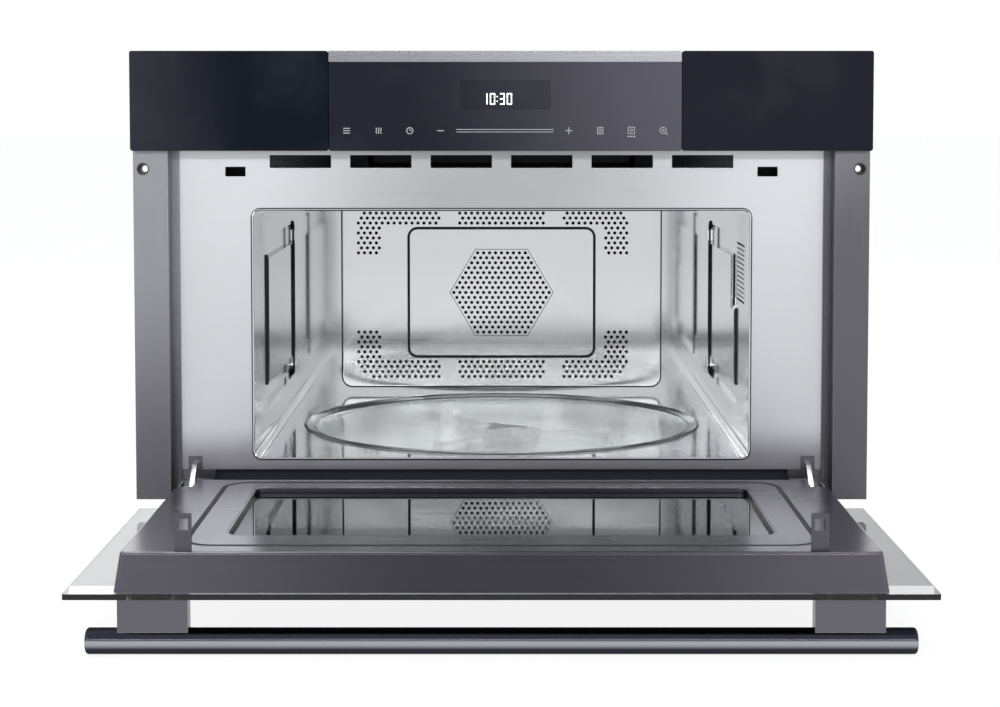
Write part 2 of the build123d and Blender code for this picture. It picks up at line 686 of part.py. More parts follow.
def fan_baffle():
    """Tray on the back wall with a raised panel outlined by a groove and a hexagon of holes."""
    face_y = CAVITY_BACK_Y - BAFFLE_PROUD
    low = CAVITY_FLOOR + BAFFLE_LOW_GAP
    top = CAVITY_CEILING - BAFFLE_TOP_GAP
    half = BAFFLE_HALF_WIDTH
    tray = front_sheet(window((-half, half), (low, top), BAFFLE_CORNER), face_y, BAFFLE_PROUD)
    hollow = window((SHEET - half, half - SHEET), (low + SHEET, top - SHEET), BAFFLE_CORNER - SHEET)
    tray -= front_sheet(hollow, face_y + SHEET, BAFFLE_PROUD - SHEET)
    panel = window((-PANEL_HALF_WIDTH, PANEL_HALF_WIDTH),
                   (FAN_Z - PANEL_HALF_HEIGHT, FAN_Z + PANEL_HALF_HEIGHT), PANEL_CORNER)
    outer = offset(panel, PANEL_GROOVE)
    skin = offset(panel, PANEL_GROOVE + SHEET) - offset(panel, -SHEET)
    tray += front_sheet(skin, face_y, PANEL_GROOVE_DEPTH + SHEET)
    tray -= front_sheet(outer - panel, face_y, PANEL_GROOVE_DEPTH)
    return tray - front_sheet(hexagon_holes(), face_y, SHEET)


# Grill and hot air


def grill_ends():
    """Places in X and Y where the two ends of the grill tube go up through the pocket."""
    across, deep = grill_pocket()
    x = across[1] - GRILL_MARGIN
    return (x, deep[0] + GRILL_MARGIN), (x, deep[1] - GRILL_MARGIN)


def grill_element():
    """Bent tube in the ceiling pocket: one wide hairpin whose ends turn up through the pocket."""
    across, deep = grill_pocket()
    z = CAVITY_CEILING + GRILL_POCKET_HEIGHT / 2
    top = CAVITY_CEILING + GRILL_POCKET_HEIGHT + SHEET + GRILL_TERMINAL
    left = across[0] + GRILL_MARGIN
    (right, near), (right, far) = grill_ends()
    points = [(right, near, top), (right, near, z), (left, near, z), (left, far, z),
              (right, far, z), (right, far, top)]
    bends = [GRILL_END_RADIUS, GRILL_BEND_RADIUS, GRILL_BEND_RADIUS, GRILL_END_RADIUS]
    path = FilletPolyline(*points, radius=bends)
    return sweep(Plane(origin=path @ 0, z_dir=path % 0) * Circle(GRILL_TUBE_RADIUS), path)


def grill_shield():
    """Slotted tray under the grill."""
    across, deep = grill_pocket()
    x = (across[0] - SHIELD_OVERLAP, across[1] + SHIELD_OVERLAP)
    y = (deep[0] - SHIELD_OVERLAP, deep[1] + SHIELD_OVERLAP)
    low = CAVITY_CEILING - SHIELD_DROP
    tray = block(x, y, (low, CAVITY_CEILING))
    tray -= block((x[0] + SHEET, x[1] - SHEET), (y[0] + SHEET, y[1] - SHEET),
                  (low + SHEET, CAVITY_CEILING))
    for column in range(SHIELD_SLOT_COLUMNS):
        for row in range(SHIELD_SLOT_ROWS):
            slot_x = (column - (SHIELD_SLOT_COLUMNS - 1) / 2) * GRILL_WIDTH / SHIELD_SLOT_COLUMNS
            rise = (row - (SHIELD_SLOT_ROWS - 1) / 2) * GRILL_DEPTH / SHIELD_SLOT_ROWS
            slot_y = (deep[0] + deep[1]) / 2 + rise
            tray -= block((slot_x - SHIELD_SLOT_LENGTH / 2, slot_x + SHIELD_SLOT_LENGTH / 2),
                          (slot_y - SHIELD_SLOT_WIDTH / 2, slot_y + SHIELD_SLOT_WIDTH / 2),
                          (low, low + SHEET))
    return tray


def heater_ends():
    """Places in X and Z where the ring heater's ends go back through the housing."""
    half = radians(HEATER_GAP_ANGLE / 2)
    x = HEATER_RADIUS * cos(half)
    return (x, FAN_Z - HEATER_RADIUS * sin(half)), (x, FAN_Z + HEATER_RADIUS * sin(half))


def convection_housing():
    """Box behind the back wall that holds the fan and the ring heater."""
    front = CAVITY_BACK_Y + SHEET
    half = (CHAMBER_HALF_WIDTH, CHAMBER_HALF_HEIGHT)

    def outline(grow):
        return window((-half[0] - grow, half[0] + grow), (FAN_Z - half[1] - grow, FAN_Z + half[1] + grow))

    housing = front_sheet(outline(CHAMBER_FLANGE), front, SHEET)
    housing += front_sheet(outline(SHEET), front, CHAMBER_DEPTH + SHEET)
    housing -= front_sheet(outline(0), front, CHAMBER_DEPTH)
    back = CHAMBER_BACK_Y + SHEET
    housing -= rod(FAN_SHAFT_RADIUS + SHEET, (0, CHAMBER_BACK_Y, FAN_Z), (0, back, FAN_Z))
    for x, z in heater_ends():
        housing -= rod(HEATER_TUBE_RADIUS + SHEET, (x, CHAMBER_BACK_Y, z), (x, back, z))
    return housing


def ring_heater():
    """Round heater about the fan, with its two ends turned back through the housing."""
    y = CAVITY_BACK_Y + SHEET + HEATER_SETBACK
    half = HEATER_GAP_ANGLE / 2
    path = Plane(origin=(0, y, FAN_Z), x_dir=(1, 0, 0), z_dir=(0, -1, 0)) * CenterArc(
        (0, 0), HEATER_RADIUS, half, FULL_TURN - 2 * half)
    ring = sweep(Plane(origin=path @ 0, z_dir=path % 0) * Circle(HEATER_TUBE_RADIUS), path)
    end = CHAMBER_BACK_Y + SHEET + GRILL_TERMINAL
    for x, z in heater_ends():
        ring += rod(HEATER_TUBE_RADIUS, (x, y - HEATER_TUBE_RADIUS, z), (x, end, z))
    return ring


def convection_fan():
    """Radial fan on its shaft: a back disc, a hub and straight blades."""
    back = CHAMBER_BACK_Y - FAN_WALL_GAP
    disc = back - FAN_BLADE_THICKNESS
    fan = rod(FAN_RADIUS, (0, disc, FAN_Z), (0, back, FAN_Z))
    fan += rod(FAN_HUB_RADIUS, (0, disc - FAN_BLADE_DEPTH / 2, FAN_Z), (0, disc, FAN_Z))
    blade = block((FAN_INNER_RADIUS, FAN_RADIUS), (disc - FAN_BLADE_DEPTH, disc),
                  (-FAN_BLADE_THICKNESS / 2, FAN_BLADE_THICKNESS / 2))
    for index in range(FAN_BLADES):
        fan += Pos(0, 0, FAN_Z) * Rot(0, index * FULL_TURN / FAN_BLADES, 0) * blade
    tip = CHAMBER_BACK_Y + SHEET + FAN_MOTOR_LENGTH / 2
    return fan + rod(FAN_SHAFT_RADIUS, (0, back, FAN_Z), (0, tip, FAN_Z))


def convection_motor():
    """Motor that turns the hot-air fan, with a bore for the shaft."""
    front = CHAMBER_BACK_Y + SHEET
    back = front + FAN_MOTOR_LENGTH
    motor = rod(FAN_MOTOR_RADIUS, (0, front, FAN_Z), (0, back, FAN_Z))
    ear = FAN_MOTOR_RADIUS + MOTOR_EAR
    motor += block((-ear, ear), (front, front + MOTOR_EAR_THICKNESS),
                   (FAN_Z - MOTOR_EAR, FAN_Z + MOTOR_EAR))
    return motor - rod(FAN_SHAFT_RADIUS + SHAFT_CLEARANCE, (0, front, FAN_Z),
                       (0, front + FAN_MOTOR_LENGTH / 2 + MOTOR_END_GAP, FAN_Z))


# Turntable


def turntable_plate():
    """Round glass plate with a raised rim."""
    slope = PLATTER_RADIUS - PLATTER_RIM_WIDTH
    profile = Polygon((0, PLATTER_LOW), (slope, PLATTER_LOW),
                      (PLATTER_RADIUS, PLATTER_LOW + PLATTER_RIM_HEIGHT),
                      (PLATTER_RADIUS, PLATTER_TOP),
                      (PLATTER_RADIUS - PLATTER_THICKNESS, PLATTER_TOP),
                      (slope, PLATTER_LOW + PLATTER_THICKNESS), (0, PLATTER_LOW + PLATTER_THICKNESS),
                      align=None)
    return Pos(0, TURNTABLE_Y, 0) * revolve(Plane.XZ * profile, Axis.Z)


def turntable_coupler():
    """Three-lobed hub under the plate, on the shaft that drops into the motor."""
    hub_low = WELL_FLOOR + COUPLER_FLOOR_GAP
    lobes_low = PLATTER_LOW - COUPLER_LOBE_HEIGHT
    coupler = Pos(0, 0, hub_low) * Cylinder(COUPLER_HUB_RADIUS, PLATTER_LOW - hub_low, align=ROUND_LOW)
    outline = Sketch()
    for index in range(COUPLER_LOBES):
        turn = Rot(0, 0, index * FULL_TURN / COUPLER_LOBES + ROLLER_FIRST_ANGLE)
        outline += turn * link((0, 0), (COUPLER_LOBE_CIRCLE, 0), 2 * COUPLER_LOBE_RADIUS)
    coupler += Pos(0, 0, lobes_low) * extrude(outline, COUPLER_LOBE_HEIGHT)
    shaft_low = WELL_FLOOR - SHEET - COUPLER_SHAFT_LENGTH
    coupler += Pos(0, 0, shaft_low) * Cylinder(COUPLER_SHAFT_RADIUS, hub_low - shaft_low, align=ROUND_LOW)
    return Pos(0, TURNTABLE_Y, 0) * coupler


def turntable_motor():
    """Flat synchronous motor under the well, with ears and a bore for the coupler's shaft."""
    top = WELL_FLOOR - SHEET
    low = top - TURNTABLE_MOTOR_HEIGHT
    motor = rod(TURNTABLE_MOTOR_RADIUS, (0, TURNTABLE_Y, low), (0, TURNTABLE_Y, top))
    ear = TURNTABLE_MOTOR_RADIUS + MOTOR_EAR
    motor += block((-ear, ear), (TURNTABLE_Y - MOTOR_EAR, TURNTABLE_Y + MOTOR_EAR),
                   (top - MOTOR_EAR_THICKNESS, top))
    bore = COUPLER_SHAFT_RADIUS + MOTOR_SHAFT_CLEARANCE
    return motor - rod(bore, (0, TURNTABLE_Y, top - COUPLER_SHAFT_LENGTH - MOTOR_END_GAP),
                       (0, TURNTABLE_Y, top))


def roller_place(index):
    """Location of a roller: its X axis points out from the turntable's centre."""
    angle = ROLLER_FIRST_ANGLE + index * FULL_TURN / ROLLER_COUNT
    return Pos(0, TURNTABLE_Y, ROLLER_Z) * Rot(0, 0, angle)


def roller_support():
    """Ring with three arms and the axles of the rollers."""
    ring = Cylinder(SUPPORT_RING_INNER + SUPPORT_RING_WIDTH, SUPPORT_THICKNESS)
    support = Pos(0, TURNTABLE_Y, ROLLER_Z) * (ring - Cylinder(SUPPORT_RING_INNER, SUPPORT_THICKNESS))
    arm_end = ROLLER_CIRCLE - ROLLER_WIDTH / 2 - AXLE_END_PLAY
    head = ROLLER_CIRCLE + ROLLER_WIDTH / 2 + AXLE_END_PLAY
    half = SUPPORT_THICKNESS / 2
    arm = block((SUPPORT_RING_INNER + SUPPORT_RING_WIDTH / 2, arm_end),
                (-SUPPORT_ARM_WIDTH / 2, SUPPORT_ARM_WIDTH / 2), (-half, half))
    arm += rod(AXLE_RADIUS, (arm_end, 0, 0), (head, 0, 0))
    arm += rod(AXLE_HEAD_RADIUS, (head, 0, 0), (head + AXLE_HEAD_LENGTH, 0, 0))
    for index in range(ROLLER_COUNT):
        support += roller_place(index) * arm
    return support


def roller(index):
    """One plastic roller, on its axle."""
    inner = ROLLER_CIRCLE - ROLLER_WIDTH / 2
    outer = ROLLER_CIRCLE + ROLLER_WIDTH / 2
    wheel = rod(ROLLER_RADIUS, (inner, 0, 0), (outer, 0, 0))
    wheel -= rod(AXLE_RADIUS + AXLE_CLEARANCE, (inner, 0, 0), (outer, 0, 0))
    return roller_place(index) * wheel


# Control panel


def panel_block(left, right, top):
    """A rounded glass block of the control panel."""
    return front_sheet(window((left, right), (FASCIA_BOTTOM, top), FASCIA_CORNER), FACE_Y, FASCIA_GLASS)


def display_span(grow):
    """Spans in X and Z of the display window."""
    half = DISPLAY_WIDTH / 2 + grow
    middle = FASCIA_BOTTOM + DISPLAY_RISE
    rise = DISPLAY_HEIGHT / 2 + grow
    return (DISPLAY_CENTRE_X - half, DISPLAY_CENTRE_X + half), (middle - rise, middle + rise)


def fascia_centre():
    """Middle glass of the control panel with the display's window cut out."""
    glass = panel_block(FASCIA_LEFT_SPLIT + FASCIA_JOINT / 2, FASCIA_RIGHT_SPLIT - FASCIA_JOINT / 2,
                        FASCIA_TOP - STRIP_HEIGHT)
    return glass - front_sheet(window(*display_span(0)), FACE_Y, FASCIA_GLASS)


def fascia_side_glass():
    """The two dark glass blocks left and right of the middle."""
    left = panel_block(-UNIT_WIDTH / 2, FASCIA_LEFT_SPLIT - FASCIA_JOINT / 2, FASCIA_TOP)
    right = panel_block(FASCIA_RIGHT_SPLIT + FASCIA_JOINT / 2, UNIT_WIDTH / 2, FASCIA_TOP)
    return group(left, right)


def fascia_strip():
    """Brushed metal strip along the top of the middle block."""
    return block((FASCIA_LEFT_SPLIT + FASCIA_JOINT / 2, FASCIA_RIGHT_SPLIT - FASCIA_JOINT / 2),
                 (FACE_Y, FACE_Y + FASCIA_GLASS), (FASCIA_TOP - STRIP_HEIGHT, FASCIA_TOP))


def display_lens():
    """Tinted pane that fills the display's window."""
    return front_sheet(window(*display_span(0)), FACE_Y, FASCIA_GLASS)


def fascia_carrier():
    """Plastic tray behind the glass, with a neck back to the front plate and studs for the board."""
    half = UNIT_WIDTH / 2 - CARRIER_INSET
    low = FASCIA_BOTTOM + CARRIER_INSET
    top = FASCIA_TOP - CARRIER_INSET
    front = FACE_Y + FASCIA_GLASS
    back = CABINET_Y - CARRIER_BACK_GAP
    wall = CARRIER_WALL
    carrier = block((-half, half), (front, back), (low, top))
    carrier -= block((wall - half, half - wall), (front, back - wall), (low + wall, top - wall))
    neck = CASE_WIDTH / 2 - CARRIER_NECK_INSET
    neck_low = low + CARRIER_INSET
    neck_top = CASE_HEIGHT - CARRIER_INSET * 3
    carrier += block((-neck, neck), (back, FRONT_Y), (neck_low, neck_top))
    carrier -= block((wall - neck, neck - wall), (back - wall, FRONT_Y), (neck_low + wall, neck_top - wall))
    carrier += block((wall - neck, neck - wall), (back - wall, back), (neck_low + wall, neck_top - wall))
    x, z = board_span()
    for stud_x in (x[0] + BOARD_MARGIN, x[1] - BOARD_MARGIN):
        for stud_z in (z[0] + BOARD_MARGIN, z[1] - BOARD_MARGIN):
            carrier += rod(LEG_RADIUS, (stud_x, BOARD_Y + BOARD_THICKNESS, stud_z),
                           (stud_x, back - wall, stud_z))
    return carrier


def board_span():
    """Spans in X and Z of the control board."""
    low = FASCIA_BOTTOM + CARRIER_INSET + CARRIER_WALL + BOARD_MARGIN
    top = FASCIA_TOP - CARRIER_INSET - CARRIER_WALL - BOARD_MARGIN
    return (FASCIA_LEFT_SPLIT + BOARD_MARGIN, FASCIA_RIGHT_SPLIT - BOARD_MARGIN), (low, top)


def control_board():
    """Board behind the middle glass, with the display block and the touch strip on it."""
    x, z = board_span()
    board = block(x, (BOARD_Y, BOARD_Y + BOARD_THICKNESS), z)
    front = FACE_Y + FASCIA_GLASS
    across, up = display_span(DISPLAY_MODULE_MARGIN)
    board += block(across, (front, BOARD_Y), up)
    return board + block((x[0] + BOARD_MARGIN, x[1] - BOARD_MARGIN), (front, BOARD_Y),
                         (z[0], z[0] + TOUCH_STRIP_HEIGHT))


# Electronics


def waveguide():
    """Closed channel that leads the microwaves from the magnetron to the port in the ceiling."""
    right = CASE_WIDTH / 2 - SHEET - GUIDE_RIGHT_GAP
    top = GUIDE_TOP
    wall = GUIDE_WALL
    guide = block((GUIDE_LEFT, right), (GUIDE_FRONT_Y, GUIDE_BACK_Y), (GUIDE_LOW, top))
    guide -= block((GUIDE_LEFT + wall, right - wall), (GUIDE_FRONT_Y + wall, GUIDE_BACK_Y - wall),
                   (GUIDE_LOW + wall, top - wall))
    guide -= block(*port_spans(0), (GUIDE_LOW, GUIDE_LOW + wall))
    x, z = antenna_place()
    return guide - rod(ANTENNA_RADIUS + ANTENNA_CLEARANCE, (x, GUIDE_FRONT_Y, z),
                       (x, GUIDE_FRONT_Y + wall, z))


def antenna_place():
    """Place in X and Z of the magnetron's axis."""
    right = CASE_WIDTH / 2 - SHEET - GUIDE_RIGHT_GAP
    return right - MAGNETRON_WIDTH / 2, ANTENNA_Z


def magnetron():
    """Microwave source: a yoke with cooling fins and an antenna into the waveguide."""
    x, z = antenna_place()
    half = MAGNETRON_WIDTH / 2
    rise = MAGNETRON_HEIGHT / 2
    front = GUIDE_FRONT_Y - MAGNETRON_DEPTH
    plate = MAGNETRON_PLATE
    core = rod(MAGNETRON_CORE_RADIUS, (x, front, z), (x, GUIDE_FRONT_Y, z))
    for y in (front, GUIDE_FRONT_Y - plate):
        core += block((x - half, x + half), (y, y + plate), (z - rise, z + rise))
    for side in (x - half, x + half - plate):
        core += block((side, side + plate), (front, GUIDE_FRONT_Y), (z - rise, z + rise))
    pitch = MAGNETRON_DEPTH / (MAGNETRON_FINS + 1)
    for index in range(MAGNETRON_FINS):
        y = front + (index + 1) * pitch
        core += block((x - half + plate, x + half - plate), (y - plate / 2, y + plate / 2),
                      (z - rise + MAGNETRON_FIN_INSET, z + rise - MAGNETRON_FIN_INSET))
    return core + rod(ANTENNA_RADIUS, (x, GUIDE_FRONT_Y, z), (x, GUIDE_FRONT_Y + ANTENNA_LENGTH, z))


def power_board_span():
    """Spans in X and Y of the power board, and the level of its underside."""
    left = -CASE_WIDTH / 2 + SHEET + POWER_BOARD_SIDE_GAP
    front = CAVITY_BACK_Y - POWER_BOARD_GAP - POWER_BOARD_DEPTH
    z = CAVITY_CEILING + SHEET + POWER_BOARD_RISE
    return (left, left + POWER_BOARD_WIDTH), (front, front + POWER_BOARD_DEPTH), z


def power_board():
    """Power supply board on four legs above the cavity, with a finned heat sink."""
    x, y, z = power_board_span()
    board = block(x, y, (z, z + BOARD_THICKNESS))
    foot = CAVITY_HALF - CAVITY_CORNER - BOARD_MARGIN
    for leg_x in (-foot, x[1] - BOARD_MARGIN):
        for leg_y in (y[0] + BOARD_MARGIN, y[1] - BOARD_MARGIN):
            board += rod(LEG_RADIUS, (leg_x, leg_y, CAVITY_CEILING + SHEET), (leg_x, leg_y, z))
    top = z + BOARD_THICKNESS
    sink_right = x[1] - BOARD_MARGIN
    sink = (sink_right - TRANSFORMER_SIZE, sink_right)
    board += block(sink, (y[0] + BOARD_MARGIN, y[1] - BOARD_MARGIN), (top, top + HEAT_SINK_BASE))
    pitch = TRANSFORMER_SIZE / HEAT_SINK_FINS
    for index in range(HEAT_SINK_FINS):
        fin = sink[0] + index * pitch
        board += block((fin, fin + pitch / 3), (y[0] + BOARD_MARGIN, y[1] - BOARD_MARGIN),
                       (top + HEAT_SINK_BASE, top + HEAT_SINK_HEIGHT))
    return board


def inverter_transformer():
    """Transformer on the power board: a square core about a round winding."""
    x, y, z = power_board_span()
    low = z + BOARD_THICKNESS
    left = x[0] + POWER_BOARD_SIDE_GAP
    middle = (y[0] + y[1]) / 2
    half = TRANSFORMER_SIZE / 2
    quarter = TRANSFORMER_SIZE / 4
    shape = rod(half - HEAT_SINK_BASE, (left + half, middle, low + HEAT_SINK_BASE),
                (left + half, middle, low + TRANSFORMER_SIZE - HEAT_SINK_BASE))
    for z_low in (low, low + TRANSFORMER_SIZE - quarter):
        shape += block((left, left + TRANSFORMER_SIZE), (middle - quarter, middle + quarter),
                       (z_low, z_low + quarter))
    for side in (left, left + TRANSFORMER_SIZE - quarter / 2):
        shape += block((side, side + quarter / 2), (middle - quarter, middle + quarter),
                       (low, low + TRANSFORMER_SIZE))
    return shape


def exhaust_duct():
    """Funnel from the blower to the row of vents in the front plate."""
    wide = DUCT_HALF
    narrow = BLOWER_LENGTH / 2 + BLOWER_END_PLAY

    def plan(grow):
        return Polygon((-wide - grow, PLATE_BACK_Y), (wide + grow, PLATE_BACK_Y),
                       (narrow + grow, DUCT_BACK_Y), (-narrow - grow, DUCT_BACK_Y), align=None)

    height = DUCT_HIGH - DUCT_LOW
    duct = Pos(0, 0, DUCT_LOW - DUCT_WALL) * extrude(plan(DUCT_WALL), height + 2 * DUCT_WALL)
    return duct - Pos(0, 0, DUCT_LOW) * extrude(plan(0), height)


def blower_housing():
    """Scroll about the blower wheel with its outlet to the duct, end plates and two feet."""
    wall = BLOWER_WALL
    outer = BLOWER_SHELL + wall
    centre = Pos(BLOWER_Y, BLOWER_Z)
    outlet = window((DUCT_BACK_Y, BLOWER_Y - BLOWER_SHELL / 2), (DUCT_LOW, DUCT_HIGH))
    skin = window((DUCT_BACK_Y, BLOWER_Y - BLOWER_SHELL / 2), (DUCT_LOW - wall, DUCT_HIGH + wall))
    solid = centre * Circle(outer) + skin
    hollow = centre * Circle(BLOWER_SHELL) + outlet
    inlet = centre * Polygon((0, 0), (BLOWER_SHELL, BLOWER_SHELL * 2), (BLOWER_SHELL * 2, BLOWER_SHELL),
                             align=None)
    half = BLOWER_LENGTH / 2 + BLOWER_END_PLAY
    shell = side_sheet(solid - hollow - inlet, -half, 2 * half)
    ends = side_sheet(solid, half, wall) + side_sheet(solid, -half - wall, wall)
    bore = BLOWER_SHAFT_RADIUS + SHAFT_CLEARANCE
    housing = shell + ends
    housing -= rod(bore, (-half - wall, BLOWER_Y, BLOWER_Z), (half + wall, BLOWER_Y, BLOWER_Z))
    for side in (-1, 1):
        x = side * (half + wall / 2)
        housing += block((x - wall / 2, x + wall / 2), (BLOWER_Y - BLOWER_FOOT, BLOWER_Y + BLOWER_FOOT),
                         (CAVITY_CEILING + SHEET, BLOWER_Z - BLOWER_SHELL))
    return housing


def blower_wheel():
    """Long cross-flow wheel: end discs, a middle disc, tilted blades and a shaft."""
    half = BLOWER_LENGTH / 2
    outline = Circle(BLOWER_RADIUS) - Circle(BLOWER_RADIUS - BLOWER_BLADE_WIDTH)
    blade = Pos(BLOWER_RADIUS - BLOWER_BLADE_WIDTH / 2) * Rot(0, 0, BLOWER_BLADE_TILT) * Rectangle(
        BLOWER_BLADE_WIDTH, BLOWER_BLADE_THICKNESS)
    blades = Sketch()
    for index in range(BLOWER_BLADES):
        blades += Rot(0, 0, index * FULL_TURN / BLOWER_BLADES) * blade
    blades = Pos(BLOWER_Y, BLOWER_Z) * (blades & outline)
    disc = Pos(BLOWER_Y, BLOWER_Z) * Circle(BLOWER_RADIUS)
    wheel = side_sheet(blades, -half, 2 * half)
    for x in (-half, -BLOWER_DISC / 2, half - BLOWER_DISC):
        wheel += side_sheet(disc, x, BLOWER_DISC)
    reach = half + BLOWER_END_PLAY + BLOWER_WALL
    return wheel + rod(BLOWER_SHAFT_RADIUS, (-reach, BLOWER_Y, BLOWER_Z),
                       (reach + BLOWER_STUB, BLOWER_Y, BLOWER_Z))


def blower_motor():
    """Motor on the right end of the blower, with a bore for its shaft."""
    left = BLOWER_LENGTH / 2 + BLOWER_END_PLAY + BLOWER_WALL
    motor = rod(BLOWER_MOTOR_RADIUS, (left, BLOWER_Y, BLOWER_Z),
                (left + BLOWER_MOTOR_LENGTH, BLOWER_Y, BLOWER_Z))
    bore = BLOWER_SHAFT_RADIUS + SHAFT_CLEARANCE
    return motor - rod(bore, (left, BLOWER_Y, BLOWER_Z),
                       (left + BLOWER_STUB + MOTOR_END_GAP, BLOWER_Y, BLOWER_Z))


def interlock_bracket():
    """Right box behind the latch hole."""
    wall = LATCH_BOX_WALL
    half = LATCH_BOX_HALF - wall
    rise = LATCH_HOLE_HEIGHT / 2 + LATCH_BOX_CLEARANCE
    back = PLATE_BACK_Y + LATCH_BOX_DEPTH
    box = block((LATCH_X - half - wall, LATCH_X + half + wall), (PLATE_BACK_Y, back),
                (LATCH_Z - rise - wall, LATCH_Z + rise + wall))
    return box - block((LATCH_X - half, LATCH_X + half), (PLATE_BACK_Y, back - wall),
                       (LATCH_Z - rise, LATCH_Z + rise))


def interlock_switch():
    """Right safety switch on top of its bracket."""
    low = LATCH_Z + LATCH_HOLE_HEIGHT / 2 + LATCH_BOX_CLEARANCE + LATCH_BOX_WALL
    middle = PLATE_BACK_Y + LATCH_BOX_DEPTH / 2
    return block((LATCH_X - SWITCH_WIDTH / 2, LATCH_X + SWITCH_WIDTH / 2),
                 (middle - SWITCH_DEPTH / 2, middle + SWITCH_DEPTH / 2), (low, low + SWITCH_HEIGHT))


def cavity_lamp():
    """Lamp box outside the right wall with its holder and bulb."""
    left = CAVITY_HALF + SHEET
    y = FRONT_Y + LAMP_SLOT_FRONT_GAP + LAMP_SLOT_LENGTH / 2
    z = CAVITY_CEILING - LAMP_SLOT_TOP_GAP - LAMP_SLOT_PITCH * (LAMP_SLOTS - 1) / 2
    half = LAMP_SLOT_LENGTH / 2 + LAMP_BOX_MARGIN
    rise = LAMP_SLOT_PITCH * (LAMP_SLOTS - 1) / 2 + LAMP_SLOT_HEIGHT / 2 + LAMP_BOX_MARGIN
    right = left + LAMP_LENGTH + LAMP_WALL_GAP
    box = block((left, right + SHEET), (y - half - SHEET, y + half + SHEET),
                (z - rise - SHEET, z + rise + SHEET))
    box -= block((left, right), (y - half, y + half), (z - rise, z + rise))
    box += rod(LAMP_HOLDER_RADIUS, (right - LAMP_LENGTH / 2, y, z), (right, y, z))
    return box + rod(LAMP_RADIUS, (left + LAMP_WALL_GAP, y, z), (right - LAMP_LENGTH / 2, y, z))


def insulation_pad():
    """Right insulation pad, resting on the pressed channel of the cavity wall."""
    left = CAVITY_HALF + CHANNEL_DEPTH + SHEET
    front = FRONT_Y + CHANNEL_FRONT_GAP - SHEET
    return block((left, left + PAD_THICKNESS), (front, CAVITY_BACK_Y),
                 (CAVITY_FLOOR + CAVITY_CORNER, CAVITY_CEILING - CAVITY_CORNER))


def mains_gland():
    """Round cable entry in the rear panel with a bore for the mains cable."""
    gland = rod(GLAND_FLANGE, (GLAND_X, BACK_Y, GLAND_Z),
                (GLAND_X, BACK_Y + GLAND_FLANGE_THICKNESS, GLAND_Z))
    gland += rod(GLAND_RADIUS, (GLAND_X, BACK_Y - GLAND_LENGTH, GLAND_Z), (GLAND_X, BACK_Y, GLAND_Z))
    return gland - rod(GLAND_BORE, (GLAND_X, BACK_Y - GLAND_LENGTH, GLAND_Z),
                       (GLAND_X, BACK_Y + GLAND_FLANGE_THICKNESS, GLAND_Z))


# Hinges, in the case


def hinge_arm():
    """Right hinge arm: a curved steel strap from behind the plate to the pivot."""
    knee = (PIVOT_Y + ARM_KNEE_SETBACK, PIVOT_Z + ARM_KNEE_RISE)
    level = PIVOT_Z + ARM_RISE
    bend = (CABINET_Y + ARM_BEND_SETBACK, level)
    tail = (bend[0] + ARM_TAIL, level)
    outline = link((PIVOT_Y, PIVOT_Z), knee, ARM_WIDTH)
    outline += link(knee, bend, ARM_WIDTH)
    outline += link(bend, tail, ARM_WIDTH)
    outline += Pos(PIVOT_Y, PIVOT_Z) * Circle(ARM_BOSS_RADIUS)
    outline -= Pos(PIVOT_Y, PIVOT_Z) * Circle(PIN_RADIUS + PIN_CLEARANCE)
    return side_sheet(outline, HINGE_X - ARM_THICKNESS / 2, ARM_THICKNESS)


def hinge_bracket():
    """Right bracket that holds the arm to the back of the front plate."""
    left = HINGE_X + ARM_THICKNESS / 2
    level = PIVOT_Z + ARM_RISE
    back = CABINET_Y + ARM_BEND_SETBACK + ARM_TAIL + ARM_WIDTH
    notch_top = PLATE_BOTTOM + NOTCH_HEIGHT
    outline = window((PLATE_BACK_Y, back), (notch_top, notch_top + BRACKET_FOOT * 2))
    outline += window((PLATE_BACK_Y + BRACKET_FOOT, back), (level - ARM_WIDTH, notch_top))
    plate = side_sheet(outline, left, BRACKET_THICKNESS)
    foot = block((left, left + BRACKET_FOOT), (PLATE_BACK_Y, PLATE_BACK_Y + BRACKET_THICKNESS),
                 (notch_top, notch_top + BRACKET_FOOT * 2))
    return plate + foot


# Door, drawn closed


def door_glass_outer():
    """Outer glass of the door with the holes for the handle screws."""
    glass = front_sheet(window((-UNIT_WIDTH / 2, UNIT_WIDTH / 2), (DOOR_BOTTOM, DOOR_TOP), FASCIA_CORNER),
                        FACE_Y, DOOR_GLASS)
    for x, z in handle_screw_places():
        glass -= rod(POST_SCREW_RADIUS, (x, FACE_Y, z), (x, GLASS_BACK_Y, z))
    return glass


def pan_shell(inset):
    """Tapered block from the glass to the pan's face, made smaller all round by an inset."""
    near = window((-PAN_HALF + inset, PAN_HALF - inset), (PAN_LOW + inset, PAN_HIGH - inset), PAN_CORNER)
    far = window((-PAN_HALF + inset + PAN_TAPER, PAN_HALF - inset - PAN_TAPER),
                 (PAN_LOW + inset + PAN_TAPER, PAN_HIGH - inset - PAN_TAPER), PAN_CORNER)
    back = Plane(origin=(0, GLASS_BACK_Y, 0), x_dir=(1, 0, 0), z_dir=(0, -1, 0))
    face = Plane(origin=(0, PAN_FACE_Y - inset, 0), x_dir=(1, 0, 0), z_dir=(0, -1, 0))
    return loft([back * near, face * far])


